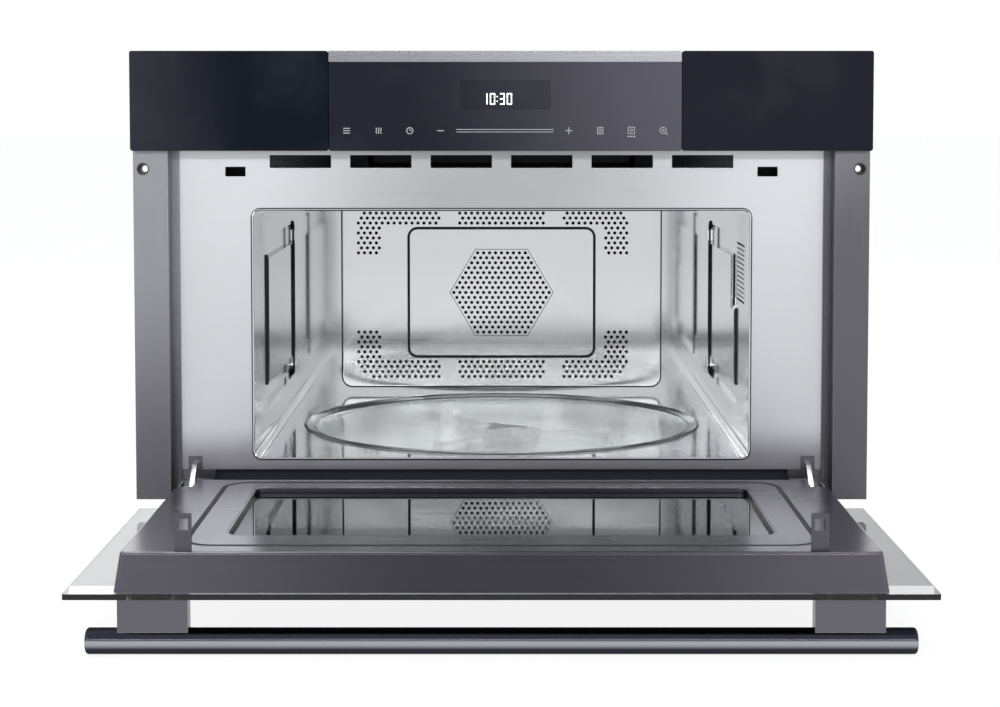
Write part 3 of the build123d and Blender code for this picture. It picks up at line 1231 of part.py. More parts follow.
def door_pan():
    """Steel inner side of the door: a tapered tray with a seal groove, window and hinge slots."""
    pan = pan_shell(0)
    rim = pan.faces().sort_by(Axis.Y)[-1].edges()
    pan = fillet(rim, PAN_EDGE)
    pan -= pan_shell(PAN_WALL)
    grow = BEZEL_WALL
    opening = window((-WINDOW_HALF - grow, WINDOW_HALF + grow),
                     (WINDOW_LOW - grow, WINDOW_HIGH + grow), WINDOW_CORNER + grow)
    pan -= front_sheet(opening, PAN_FACE_Y - PAN_WALL, PAN_WALL)
    pan -= front_sheet(seal_ring(SEAL_GROOVE_CLEARANCE), PAN_FACE_Y - SEAL_GROOVE_DEPTH,
                       SEAL_GROOVE_DEPTH)
    slot = CHEEK_OUTER + SLOT_CLEARANCE
    for side in (-1, 1):
        x = side * HINGE_X
        pan -= block((x - slot, x + slot), (GLASS_BACK_Y, PAN_FACE_Y),
                     (PAN_LOW, PLATE_BOTTOM + NOTCH_HEIGHT))
        x = side * LATCH_X
        z = LATCH_Z - HOOK_DROP
        pan -= block((x - HOOK_WIDTH / 2, x + HOOK_WIDTH / 2), (PAN_FACE_Y - PAN_WALL, PAN_FACE_Y),
                     (z - HOOK_THICKNESS / 2, z + HOOK_THICKNESS / 2))
    return pan


def seal_ring(grow):
    """Outline of the seal about the cavity's mouth, made wider by a clearance."""
    def ring(margin):
        half = CAVITY_HALF + margin
        return window((-half, half), (CAVITY_FLOOR - margin, CAVITY_CEILING + margin),
                      SEAL_CORNER + margin - SEAL_MARGIN)

    return ring(SEAL_MARGIN + SEAL_WIDTH + grow) - ring(SEAL_MARGIN - grow)


def door_seal():
    """Soft seal set in the groove of the pan."""
    return front_sheet(seal_ring(0), PAN_FACE_Y - SEAL_GROOVE_DEPTH, SEAL_THICKNESS)


def window_outline(grow):
    """Outline of the door's window, made larger all round."""
    return window((-WINDOW_HALF - grow, WINDOW_HALF + grow), (WINDOW_LOW - grow, WINDOW_HIGH + grow),
                  WINDOW_CORNER + grow)


def window_bezel():
    """Frame that lines the window and carries the inner glass behind the pan's face."""
    hole = window_outline(0)
    lining = front_sheet(window_outline(BEZEL_WALL) - hole, WINDOW_GLASS_Y, WINDOW_RECESS)
    flange = window_outline(GLASS_MARGIN + BEZEL_WALL + SCREEN_RIM) - hole
    return lining + front_sheet(flange, WINDOW_GLASS_Y, WINDOW_RECESS - PAN_WALL)


def door_glass_inner():
    """Inner pane of the door's window."""
    return front_sheet(window_outline(GLASS_MARGIN), WINDOW_GLASS_Y - INNER_GLASS, INNER_GLASS)


def door_screen():
    """Metal screen tray behind the inner pane, with its rim against the bezel."""
    outer = window_outline(GLASS_MARGIN + BEZEL_WALL + SCREEN_RIM)
    low = WINDOW_GLASS_Y - INNER_GLASS - SCREEN_GAP - SCREEN_THICKNESS
    tray = front_sheet(outer, low, WINDOW_GLASS_Y - low)
    return tray - front_sheet(window_outline(GLASS_MARGIN + BEZEL_WALL), low + SCREEN_THICKNESS,
                              WINDOW_GLASS_Y - low - SCREEN_THICKNESS)


def latch_hook():
    """Right latch hook: a flat tongue with a window near its tip, on a foot inside the pan."""
    z = LATCH_Z - HOOK_DROP
    low = z - HOOK_THICKNESS / 2
    tip = PAN_FACE_Y + HOOK_REACH
    hook = block((LATCH_X - HOOK_WIDTH / 2, LATCH_X + HOOK_WIDTH / 2), (PAN_FACE_Y - PAN_WALL, tip),
                 (low, low + HOOK_THICKNESS))
    hook -= block((LATCH_X - HOOK_WINDOW_WIDTH / 2, LATCH_X + HOOK_WINDOW_WIDTH / 2),
                  (tip - HOOK_WINDOW_INSET - HOOK_WINDOW_LENGTH, tip - HOOK_WINDOW_INSET),
                  (low, low + HOOK_THICKNESS))
    back = PAN_FACE_Y - PAN_WALL
    return hook + block((LATCH_X - HOOK_WIDTH, LATCH_X + HOOK_WIDTH), (back - HOOK_THICKNESS, back),
                        (z - HOOK_FOOT / 2, z + HOOK_FOOT / 4))


def hinge_channel():
    """Right hinge channel: two cheeks joined by a web on the glass."""
    half = CHEEK_DEPTH / 2
    outline = window((GLASS_BACK_Y, PIVOT_Y + half), (PIVOT_Z, PIVOT_Z + CHEEK_HEIGHT))
    outline += Pos(PIVOT_Y, PIVOT_Z) * Circle(ARM_BOSS_RADIUS + CHEEK_THICKNESS)
    outline -= Pos(PIVOT_Y, PIVOT_Z) * Circle(PIN_RADIUS)
    channel = side_sheet(outline, HINGE_X + CHEEK_INNER, CHEEK_THICKNESS)
    channel += side_sheet(outline, HINGE_X - CHEEK_OUTER, CHEEK_THICKNESS)
    return channel + block((HINGE_X - CHEEK_OUTER, HINGE_X + CHEEK_OUTER),
                           (GLASS_BACK_Y, GLASS_BACK_Y + CHEEK_THICKNESS),
                           (PIVOT_Z + WEB_RISE, PIVOT_Z + CHEEK_HEIGHT))


def hinge_pin():
    """Right hinge pin, fixed in the cheeks and free in the arm."""
    half = CHEEK_OUTER + PIN_PROUD
    return rod(PIN_RADIUS, (HINGE_X - half, PIVOT_Y, PIVOT_Z), (HINGE_X + half, PIVOT_Y, PIVOT_Z))


def handle_axis():
    """Place in Y and Z of the handle bar's axis."""
    return FACE_Y - HANDLE_STANDOFF, DOOR_TOP - HANDLE_DROP


def handle_bar():
    """Round bar with chamfered ends."""
    y, z = handle_axis()
    bar = rod(HANDLE_RADIUS, (-HANDLE_LENGTH / 2, y, z), (HANDLE_LENGTH / 2, y, z))
    ends = bar.edges().filter_by(GeomType.CIRCLE)
    return chamfer(ends, HANDLE_END_CHAMFER)


def handle_post():
    """Right post between the glass and the bar, hollowed where the bar sits."""
    y, z = handle_axis()
    x = (POST_X - POST_WIDTH / 2, POST_X + POST_WIDTH / 2)
    post = block(x, (y, FACE_Y), (z - POST_THICKNESS / 2, z + POST_THICKNESS / 2))
    post -= rod(HANDLE_RADIUS, (x[0], y, z), (x[1], y, z))
    for screw_x, screw_z in handle_screw_places():
        if screw_x > 0:
            post -= rod(POST_SCREW_RADIUS, (screw_x, FACE_Y - POST_SCREW_DEPTH, screw_z),
                        (screw_x, FACE_Y, screw_z))
    return post


def handle_screw_places():
    """Places in X and Z of the handle screws."""
    z = handle_axis()[1]
    return [(side * (POST_X + reach), z) for side in (-1, 1)
            for reach in (-POST_SCREW_PITCH / 2, POST_SCREW_PITCH / 2)]


def handle_screws():
    """Screws from inside the door through the glass into the posts."""
    screws = []
    for x, z in handle_screw_places():
        screw = rod(POST_SCREW_RADIUS, (x, FACE_Y - POST_SCREW_DEPTH, z), (x, GLASS_BACK_Y, z))
        head = GLASS_BACK_Y + POST_SCREW_HEAD_HEIGHT
        screws.append(screw + rod(POST_SCREW_HEAD, (x, GLASS_BACK_Y, z), (x, head, z)))
    return group(*screws)


# The pieces of the case and the moving parts inside it, then those of the door
IN_PLACE = {
    "front_plate": front_plate,
    "side_trims": lambda: pair(side_trim()),
    "base_pan": base_pan,
    "top_cover": top_cover,
    "side_panels": lambda: pair(side_panel()),
    "rear_panel": rear_panel,
    "cavity_floor": cavity_floor,
    "cavity_ceiling": cavity_ceiling,
    "cavity_wall_left": cavity_wall_left,
    "cavity_wall_right": cavity_wall_right,
    "cavity_back": cavity_back,
    "fan_baffle": fan_baffle,
    "port_cover": port_cover,
    "grill_element": grill_element,
    "grill_shield": grill_shield,
    "convection_housing": convection_housing,
    "ring_heater": ring_heater,
    "convection_motor": convection_motor,
    "convection_fan": convection_fan,
    "fascia_carrier": fascia_carrier,
    "fascia_centre": fascia_centre,
    "fascia_side_glass": fascia_side_glass,
    "fascia_strip": fascia_strip,
    "display_lens": display_lens,
    "control_board": control_board,
    "magnetron": magnetron,
    "waveguide": waveguide,
    "power_board": power_board,
    "inverter_transformer": inverter_transformer,
    "exhaust_duct": exhaust_duct,
    "blower_housing": blower_housing,
    "blower_motor": blower_motor,
    "blower_wheel": blower_wheel,
    "interlock_brackets": lambda: pair(interlock_bracket()),
    "interlock_switches": lambda: pair(interlock_switch()),
    "cavity_lamp": cavity_lamp,
    "insulation_pads": lambda: pair(insulation_pad()),
    "mains_gland": mains_gland,
    "hinge_arms": lambda: pair(hinge_arm()),
    "hinge_brackets": lambda: pair(hinge_bracket()),
    "turntable_motor": turntable_motor,
    "turntable_plate": turntable_plate,
    "turntable_coupler": turntable_coupler,
    "roller_support": roller_support,
    "roller_1": lambda: roller(0),
    "roller_2": lambda: roller(1),
    "roller_3": lambda: roller(2),
}
ON_THE_DOOR = {
    "door_glass_outer": door_glass_outer,
    "door_pan": door_pan,
    "window_bezel": window_bezel,
    "door_glass_inner": door_glass_inner,
    "door_screen": door_screen,
    "door_seal": door_seal,
    "latch_hooks": lambda: pair(latch_hook()),
    "hinge_channels": lambda: pair(hinge_channel()),
    "hinge_pins": lambda: pair(hinge_pin()),
    "handle_bar": handle_bar,
    "handle_posts": lambda: pair(handle_post()),
    "handle_screws": handle_screws,
}

os.makedirs("parts", exist_ok=True)
for name, make in IN_PLACE.items():
    export_step(make(), f"parts/{name}.step")
for name, make in ON_THE_DOOR.items():
    export_step(opened(make()), f"parts/{name}.step")
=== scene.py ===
import json
import logging
from collections import defaultdict
from collections.abc import Iterable, Sequence
from dataclasses import dataclass, field
from enum import Enum
from math import atan2, cos, pi, radians, sin

import bmesh
import bpy
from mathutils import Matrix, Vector


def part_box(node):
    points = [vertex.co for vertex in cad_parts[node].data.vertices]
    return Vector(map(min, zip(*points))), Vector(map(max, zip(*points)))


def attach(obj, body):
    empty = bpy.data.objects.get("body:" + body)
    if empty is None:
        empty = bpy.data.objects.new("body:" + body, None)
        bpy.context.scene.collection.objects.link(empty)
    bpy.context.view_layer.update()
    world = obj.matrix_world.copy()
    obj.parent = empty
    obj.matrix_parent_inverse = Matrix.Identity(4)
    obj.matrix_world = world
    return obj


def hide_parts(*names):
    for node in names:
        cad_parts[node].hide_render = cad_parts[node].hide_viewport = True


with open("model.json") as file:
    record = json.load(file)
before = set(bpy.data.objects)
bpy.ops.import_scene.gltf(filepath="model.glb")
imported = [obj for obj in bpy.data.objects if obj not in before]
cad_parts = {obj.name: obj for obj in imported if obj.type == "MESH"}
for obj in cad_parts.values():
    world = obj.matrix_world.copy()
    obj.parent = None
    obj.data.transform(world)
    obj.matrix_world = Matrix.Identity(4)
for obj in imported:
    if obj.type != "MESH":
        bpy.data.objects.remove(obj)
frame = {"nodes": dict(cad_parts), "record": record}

# Built-in combination microwave oven with its drop-down door open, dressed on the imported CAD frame.
# Sizes are in millimetres and are turned into metres as a mesh is made. X runs to the right, Y to the
# back and Z up, as in the frame.

MM = 0.001
LOG = logging.getLogger("oven")
FULL_TURN = 2 * pi
# Vertices nearer to each other than this, in metres, are joined.
COARSE_MERGE = 2e-6
# Angles between neighbouring faces in degrees: up to the first they share their shading, past the
# second their edge is rounded, and below the third they are joined to one face.
SMOOTH_ANGLE = 35.0
EDGE_ANGLE = 38.0
FLAT_ANGLE = 0.6

Point2 = tuple[float, float]
Point3 = tuple[float, float, float]
Colour = tuple[float, float, float]


class Plane(Enum):
    """Plane that an outline is drawn in, and the axis it is raised along."""

    FRONT = "across X and Z, raised along Y"
    TOP = "across X and Y, raised along Z"
    SIDE = "across Y and Z, raised along X"

    def place(self, point: Point2, height: float) -> Vector:
        """Puts an outline's point at a height along the raised axis.

        Args:
            point: the point in the plane, in millimetres.
            height: how far along the raised axis it lies, in millimetres.

        Returns:
            The place in metres.
        """
        first, second = point
        if self is Plane.FRONT:
            return Vector((first, height, second)) * MM
        if self is Plane.TOP:
            return Vector((first, second, height)) * MM
        return Vector((height, first, second)) * MM


class Grain(Enum):
    """Direction of the brush lines in a metal, as how closely they follow each other along each axis."""

    ALONG_X = (6.0, 1500.0, 1500.0)
    ALONG_Z = (1500.0, 1500.0, 6.0)
    ROLLED = (90.0, 90.0, 90.0)


def node_box(node: str) -> tuple[Vector, Vector]:
    """Gives a CAD node's lowest and highest corner in millimetres."""
    low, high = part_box(node)
    return Vector(low) / MM, Vector(high) / MM


def body_of_node(node: str) -> str:
    """Names the body that a CAD node rides on."""
    for body, nodes in frame["record"]["behaviour"]["bodies"].items():
        if node in nodes:
            return body
    raise KeyError(node)


def slot_of_node(node: str) -> str:
    """Names the record's material slot of a CAD node."""
    for row in frame["record"]["subparts"]:
        if row["node"] == node:
            return row["material_slot"]
    raise KeyError(node)


def rounded_outline(across: Point2, up: Point2, corner: float, steps: int = 6) -> list[Point2]:
    """Draws a rectangle with rounded corners.

    Args:
        across: lowest and highest value of the first axis.
        up: lowest and highest value of the second axis.
        corner: radius of the corners.
        steps: number of straight parts in each corner.

    Returns:
        The outline's points, anticlockwise from the lower right corner.
    """
    centres = (
        (across[1] - corner, up[0] + corner, -pi / 2),
        (across[1] - corner, up[1] - corner, 0.0),
        (across[0] + corner, up[1] - corner, pi / 2),
        (across[0] + corner, up[0] + corner, pi),
    )
    points = []
    for first, second, start in centres:
        for step in range(steps + 1):
            angle = start + step / steps * pi / 2
            points.append((first + corner * cos(angle), second + corner * sin(angle)))
    return points


class Draft:
    """A mesh under construction, in the frame's axes."""

    def __init__(self) -> None:
        """Starts with no faces."""
        self.mesh = bmesh.new()

    def loop(self, points: Iterable[Vector]) -> list[bmesh.types.BMVert]:
        """Adds a ring of vertices."""
        return [self.mesh.verts.new(point) for point in points]

    def skin(self, rings: Sequence[Sequence[bmesh.types.BMVert]], closed: bool = False) -> None:
        """Joins rings of equal length with four-sided faces.

        Args:
            rings: the rings, in order.
            closed: whether the last ring is joined to the first.
        """
        pairs = list(zip(rings, rings[1:]))
        if closed:
            pairs.append((rings[-1], rings[0]))
        for near, far in pairs:
            for index in range(len(near)):
                after = (index + 1) % len(near)
                self.mesh.faces.new((near[index], near[after], far[after], far[index]))

    def prism(self, outline: Sequence[Point2], plane: Plane, low: float, high: float) -> None:
        """Raises an outline into a closed solid.

        Args:
            outline: the outline's points.
            plane: the plane that it is drawn in.
            low: where the solid starts along the raised axis.
            high: where it ends.
        """
        near = self.loop(plane.place(point, low) for point in outline)
        far = self.loop(plane.place(point, high) for point in outline)
        self.skin((near, far))
        self.mesh.faces.new(near)
        self.mesh.faces.new(far)

    def box(self, low: Point3, high: Point3) -> None:
        """Adds a block between two corners."""
        outline = [(low[0], low[1]), (high[0], low[1]), (high[0], high[1]), (low[0], high[1])]
        self.prism(outline, Plane.TOP, low[2], high[2])

    def hoop(self, outer: Sequence[Point2], inner: Sequence[Point2], plane: Plane,
             low: float, high: float) -> None:
        """Raises the band between two outlines with the same number of points.

        Args:
            outer: the outer outline.
            inner: the inner outline.
            plane: the plane that they are drawn in.
            low: where the band starts along the raised axis.
            high: where it ends.
        """
        rings = [self.loop(plane.place(point, height) for point in outline)
                 for outline, height in ((outer, low), (outer, high), (inner, high), (inner, low))]
        self.skin(rings, closed=True)

    def turned(self, profile: Sequence[Point2], centre: Point3, plane: Plane, parts: int) -> None:
        """Turns a profile of radius and height about the plane's raised axis.

        Args:
            profile: points of radius and height; a radius of nought closes the shape there.
            centre: the point that heights and radii start from.
            plane: the plane whose raised axis is the axis of turning.
            parts: the number of parts in a full turn.
        """
        origin = Vector(centre) * MM
        rings = []
        for radius, height in profile:
            if radius <= 0:
                rings.append([self.mesh.verts.new(origin + plane.place((0.0, 0.0), height))])
                continue
            angles = (FULL_TURN * index / parts for index in range(parts))
            rings.append(self.loop(origin + plane.place((radius * cos(a), radius * sin(a)), height)
                                   for a in angles))
        for near, far in zip(rings, rings[1:]):
            if len(near) == len(far):
                self.skin((near, far))
                continue
            tip, ring = (near[0], far) if len(near) == 1 else (far[0], near)
            for index in range(parts):
                self.mesh.faces.new((tip, ring[index], ring[(index + 1) % parts]))

    def bead(self, path: Sequence[Vector], radius: float, parts: int = 8) -> None:
        """Runs a round bead along a closed path that lies square to the front.

        Args:
            path: the points that it follows, in metres.
            radius: radius of the bead in millimetres.
            parts: number of sides of the bead.
        """
        rings = []
        for index, point in enumerate(path):
            along = (path[(index + 1) % len(path)] - path[index - 1]).normalized()
            side = along.cross(Vector((0, 1, 0))).normalized()
            over = along.cross(side)
            angles = (FULL_TURN * part / parts for part in range(parts))
            rings.append(self.loop(point + (side * cos(a) + over * sin(a)) * radius * MM
                                   for a in angles))
        self.skin(rings, closed=True)

    def to_mesh(self, name: str, smooth: float = SMOOTH_ANGLE) -> bpy.types.Mesh:
        """Turns the draft into a mesh with its faces outwards.

        Args:
            name: name of the mesh.
            smooth: angle in degrees up to which neighbouring faces share their shading.

        Returns:
            The new mesh.
        """
        bmesh.ops.remove_doubles(self.mesh, verts=self.mesh.verts, dist=COARSE_MERGE)
        bmesh.ops.recalc_face_normals(self.mesh, faces=self.mesh.faces)
        mesh = bpy.data.meshes.new(name)
        self.mesh.to_mesh(mesh)
        self.mesh.free()
        mesh.shade_smooth()
        mesh.set_sharp_from_angle(angle=radians(smooth))
        return mesh


def rounded_edges(mesh: bpy.types.Mesh, width: float = 0.0, segments: int = 2) -> bpy.types.Mesh:
    """Rounds a mesh's sharp edges and evens its shading.

    Args:
        mesh: the mesh to finish, which is used up.
        width: width of the rounding in millimetres, or nought to leave the edges as they are.
        segments: number of parts in the rounding.

    Returns:
        The finished mesh.
    """
    name = mesh.name
    holder = bpy.data.objects.new("holder", mesh)
    bpy.context.scene.collection.objects.link(holder)
    if width:
        bevel = holder.modifiers.new("edge", "BEVEL")
        bevel.width = width * MM
        bevel.segments = segments
        bevel.limit_method = "ANGLE"
        bevel.angle_limit = radians(EDGE_ANGLE)
    depsgraph = bpy.context.evaluated_depsgraph_get()
    finished = bpy.data.meshes.new_from_object(holder.evaluated_get(depsgraph))
    bpy.data.objects.remove(holder)
    bpy.data.meshes.remove(mesh)
    finished.name = name
    even_shading(finished)
    return finished


def even_shading(mesh: bpy.types.Mesh, smooth: float = SMOOTH_ANGLE) -> None:
    """Lets the largest flat areas about each corner of a mesh set its shading.

    Args:
        mesh: the mesh to shade.
        smooth: angle in degrees up to which neighbouring faces share their shading.
    """
    limit = cos(radians(smooth))
    areas: dict[tuple[float, ...], float] = defaultdict(float)
    keys = []
    about: list[list[int]] = [[] for _ in mesh.vertices]
    for face in mesh.polygons:
        flat = (*face.normal, 10 * face.normal.dot(face.center))
        keys.append(tuple(round(value, 3) for value in flat))
        areas[keys[-1]] += face.area
        for vertex in face.vertices:
            about[vertex].append(face.index)
    weighted = [face.normal * areas[keys[face.index]] for face in mesh.polygons]
    normals = [face.normal.copy() for face in mesh.polygons]
    corners = [Vector()] * len(mesh.loops)
    for face in mesh.polygons:
        for corner in face.loop_indices:
            total = Vector()
            for other in about[mesh.loops[corner].vertex_index]:
                if normals[other].dot(normals[face.index]) >= limit:
                    total += weighted[other]
            corners[corner] = total.normalized()
    mesh.normals_split_custom_set(corners)


def merged_copy(node: str, smooth: float = SMOOTH_ANGLE, joined: bool = True) -> bpy.types.Mesh:
    """Copies a CAD node's mesh, joins its loose triangles and drops the lines across flat faces.

    Args:
        node: name of the CAD node.
        smooth: angle in degrees up to which neighbouring faces share their shading.
        joined: whether the lines across flat faces are dropped.

    Returns:
        The new mesh.
    """
    draft = bmesh.new()
    draft.from_mesh(frame["nodes"][node].data)
    bmesh.ops.remove_doubles(draft, verts=draft.verts, dist=COARSE_MERGE)
    if joined:
        bmesh.ops.dissolve_limit(draft, angle_limit=radians(FLAT_ANGLE), verts=draft.verts,
                                 edges=draft.edges)
    mesh = bpy.data.meshes.new(node)
    draft.to_mesh(mesh)
    draft.free()
    mesh.shade_smooth()
    mesh.set_sharp_from_angle(angle=radians(smooth))
    return mesh


class Sheet:
    """A node tree under construction."""

    def __init__(self, tree: bpy.types.NodeTree) -> None:
        """Starts from an emptied tree."""
        self.tree = tree
        tree.nodes.clear()

    def add(self, kind: str, inputs: dict[str | int, object] | None = None,
            **settings: object) -> bpy.types.Node:
        """Adds a node.

        Args:
            kind: Blender's name for the kind of node.
            inputs: a value, or an output to join, for each input by its name or number.
            **settings: the node's own settings.

        Returns:
            The new node.
        """
        node = self.tree.nodes.new(kind)
        for key, value in settings.items():
            setattr(node, key, value)
        for key, value in (inputs or {}).items():
            self.feed(value, node.inputs[key])
        return node

    def join(self, source: bpy.types.NodeSocket, target: bpy.types.NodeSocket) -> None:
        """Joins an output to an input."""
        self.tree.links.new(source, target)

    def feed(self, value: object, target: bpy.types.NodeSocket) -> None:
        """Joins an output to an input, or gives the input a plain value."""
        if isinstance(value, bpy.types.NodeSocket):
            self.join(value, target)
        else:
            target.default_value = value

    def number(self, operation: str, *values: object, clamp: bool = False) -> bpy.types.NodeSocket:
        """Adds a sum and gives its result."""
        node = self.add("ShaderNodeMath", dict(enumerate(values)), operation=operation, use_clamp=clamp)
        return node.outputs[0]

    def spread(self, value: bpy.types.NodeSocket, low: object, high: object,
               start: object = 0.0, end: object = 1.0) -> bpy.types.NodeSocket:
        """Maps a value from one range to another and gives the result."""
        node = self.add("ShaderNodeMapRange", {"Value": value, "From Min": start, "From Max": end,
                                               "To Min": low, "To Max": high})
        return node.outputs["Result"]

    def mixed(self, share: object, first: object, second: object,
              blend: str = "MIX") -> bpy.types.NodeSocket:
        """Mixes two colours.

        Args:
            share: how much of the second shows.
            first: the colour that a share of nought gives.
            second: the other colour.
            blend: Blender's name for the way of mixing.

        Returns:
            The mixed colour.
        """
        node = self.add("ShaderNodeMix", {0: share, 6: first, 7: second}, data_type="RGBA",
                        blend_type=blend)
        return node.outputs[2]


def new_group(name: str, takes: dict[str, object], gives: dict[str, str],
              kind: str = "ShaderNodeTree") -> tuple[Sheet, bpy.types.Node]:
    """Starts a node group with named sockets.

    Args:
        name: name of the group.
        takes: a kind of socket, or a kind and a value, for each input's name.
        gives: the kind of socket for each output's name.
        kind: kind of tree.

    Returns:
        The sheet of the group, and its input node.
    """
    tree = bpy.data.node_groups.new(name, kind)
    sheet = Sheet(tree)
    for title, what in takes.items():
        socket_kind, value = what if isinstance(what, tuple) else (what, None)
        socket = tree.interface.new_socket(title, in_out="INPUT", socket_type=socket_kind)
        if value is not None:
            socket.default_value = value
    for title, socket_kind in gives.items():
        tree.interface.new_socket(title, in_out="OUTPUT", socket_type=socket_kind)
    return sheet, sheet.add("NodeGroupInput")


FLOAT = "NodeSocketFloat"
VECTOR = "NodeSocketVector"
COLOUR = "NodeSocketColor"


class Effects:
    """Shader node groups that more than one finish uses, each built once."""

    def __init__(self) -> None:
        """Builds every group."""
        self.grain = self.build_grain()
        self.smudge = self.build_smudge()
        self.painted_light = self.build_painted_light()
        self.wear_and_sheen = self.build_wear_and_sheen()
        self.spangle = self.build_spangle()

    def build_grain(self) -> bpy.types.NodeTree:
        """Builds brush lines or rolled texture: tone, roughness and height.

        Returns:
            The group.
        """
        sheet, given = new_group(
            "brushed_grain",
            {"Coordinates": VECTOR, "Stretch": (VECTOR, (1.0, 1.0, 1.0)), "Tone": COLOUR,
             "Tone Spread": (FLOAT, 0.1), "Roughness": (FLOAT, 0.3), "Roughness Spread": (FLOAT, 0.08)},
            {"Colour": COLOUR, "Roughness": FLOAT, "Height": FLOAT})
        take = given.outputs
        fine_place = sheet.add("ShaderNodeVectorMath", {0: take["Coordinates"], 1: take["Stretch"]},
                               operation="MULTIPLY")
        fine = sheet.add("ShaderNodeTexNoise", {"Vector": fine_place.outputs[0], "Scale": 1.0,
                                                "Detail": 3.0, "Roughness": 0.6})
        broad_place = sheet.add("ShaderNodeVectorMath", {0: fine_place.outputs[0], "Scale": 0.11},
                                operation="SCALE")
        broad = sheet.add("ShaderNodeTexNoise", {"Vector": broad_place.outputs[0], "Scale": 1.0,
                                                 "Detail": 2.0})
        both = sheet.number("ADD", sheet.number("MULTIPLY", fine.outputs[0], 0.82),
                            sheet.number("MULTIPLY", broad.outputs[0], 0.18))
        centred = sheet.number("MULTIPLY", sheet.number("SUBTRACT", both, 0.5), 4.0)
        factor = sheet.number("ADD", sheet.number("MULTIPLY", centred, take["Tone Spread"]), 1.0)
        grey = sheet.add("ShaderNodeCombineColor", {0: factor, 1: factor, 2: factor})
        colour = sheet.mixed(1.0, take["Tone"], grey.outputs[0], "MULTIPLY")
        rough = sheet.number("ADD", take["Roughness"],
                             sheet.number("MULTIPLY", centred, take["Roughness Spread"]), clamp=True)
        sheet.add("NodeGroupOutput", {"Colour": colour, "Roughness": rough, "Height": fine.outputs[0]})
        return sheet.tree

    def build_smudge(self) -> bpy.types.NodeTree:
        """Builds soft cloudy marks, as wiping leaves on a polished face.

        Returns:
            The group.
        """
        sheet, given = new_group(
            "wiped_smudge", {"Coordinates": VECTOR, "Size": (FLOAT, 9.0), "Low": (FLOAT, 0.4),
                             "High": (FLOAT, 0.7)}, {"Mask": FLOAT})
        take = given.outputs
        cloud = sheet.add("ShaderNodeTexNoise", {"Vector": take["Coordinates"], "Scale": take["Size"],
                                                 "Detail": 4.0, "Distortion": 0.6})
        mask = sheet.add("ShaderNodeMapRange", {"Value": cloud.outputs[0], "From Min": take["Low"],
                                                "From Max": take["High"]}, interpolation_type="SMOOTHSTEP")
        sheet.add("NodeGroupOutput", {"Mask": mask.outputs[0]})
        return sheet.tree

    def build_painted_light(self) -> bpy.types.NodeTree:
        """Builds painted light and shade: a slow change of tone from one side of a piece to the other.

        Returns:
            The group.
        """
        sheet, given = new_group(
            "tone_drift",
            {"Coordinates": VECTOR, "Direction": (VECTOR, (1.0, 0.0, 0.0)), "Start": (FLOAT, -0.3),
             "End": (FLOAT, 0.3), "Mirrored": (FLOAT, 0.0)},
            {"Share": FLOAT})
        take = given.outputs
        along = sheet.add("ShaderNodeVectorMath", {0: take["Coordinates"], 1: take["Direction"]},
                          operation="DOT_PRODUCT").outputs["Value"]
        away = sheet.number("ABSOLUTE", along)
        both = sheet.add("ShaderNodeMix", {0: take["Mirrored"], 2: along, 3: away}, data_type="FLOAT")
        share = sheet.add("ShaderNodeMapRange", {"Value": both.outputs[0], "From Min": take["Start"],
                                                 "From Max": take["End"]}, interpolation_type="SMOOTHSTEP")
        sheet.add("NodeGroupOutput", {"Share": share.outputs[0]})
        return sheet.tree

    def build_wear_and_sheen(self) -> bpy.types.NodeTree:
        """Builds a mask that is bright on a piece's edges, broken up by fine scratches: partly rubbed wear,
        partly a painted edge highlight.

        Returns:
            The group.
        """
        sheet, given = new_group(
            "edge_wear", {"Coordinates": VECTOR, "Width": (FLOAT, 0.0006)}, {"Mask": FLOAT})
        take = given.outputs
        soft = sheet.add("ShaderNodeBevel", {"Radius": take["Width"]}, samples=4)
        true = sheet.add("ShaderNodeNewGeometry")
        turn = sheet.add("ShaderNodeVectorMath", {0: soft.outputs[0], 1: true.outputs["Normal"]},
                         operation="DOT_PRODUCT")
        edge = sheet.spread(turn.outputs["Value"], 1.0, 0.0, 0.86, 0.995)
        marks = sheet.add("ShaderNodeTexNoise", {"Vector": take["Coordinates"], "Scale": 160.0,
                                                 "Detail": 3.0})
        broken = sheet.spread(marks.outputs[0], 0.35, 1.0, 0.35, 0.6)
        sheet.add("NodeGroupOutput", {"Mask": sheet.number("MULTIPLY", edge, broken, clamp=True)})
        return sheet.tree

    def build_spangle(self) -> bpy.types.NodeTree:
        """Builds the crystal patches of a zinc coat.

        Returns:
            The group.
        """
        sheet, given = new_group("zinc_spangle", {"Coordinates": VECTOR, "Size": (FLOAT, 120.0)},
                                 {"Tone": FLOAT})
        cells = sheet.add("ShaderNodeTexVoronoi", {"Vector": given.outputs["Coordinates"],
                                                   "Scale": given.outputs["Size"]},
                          feature="F1", distance="MINKOWSKI")
        grey = sheet.add("ShaderNodeSeparateColor", {0: cells.outputs["Color"]})
        sheet.add("NodeGroupOutput", {"Tone": grey.outputs[0]})
        return sheet.tree


EFFECTS = Effects()


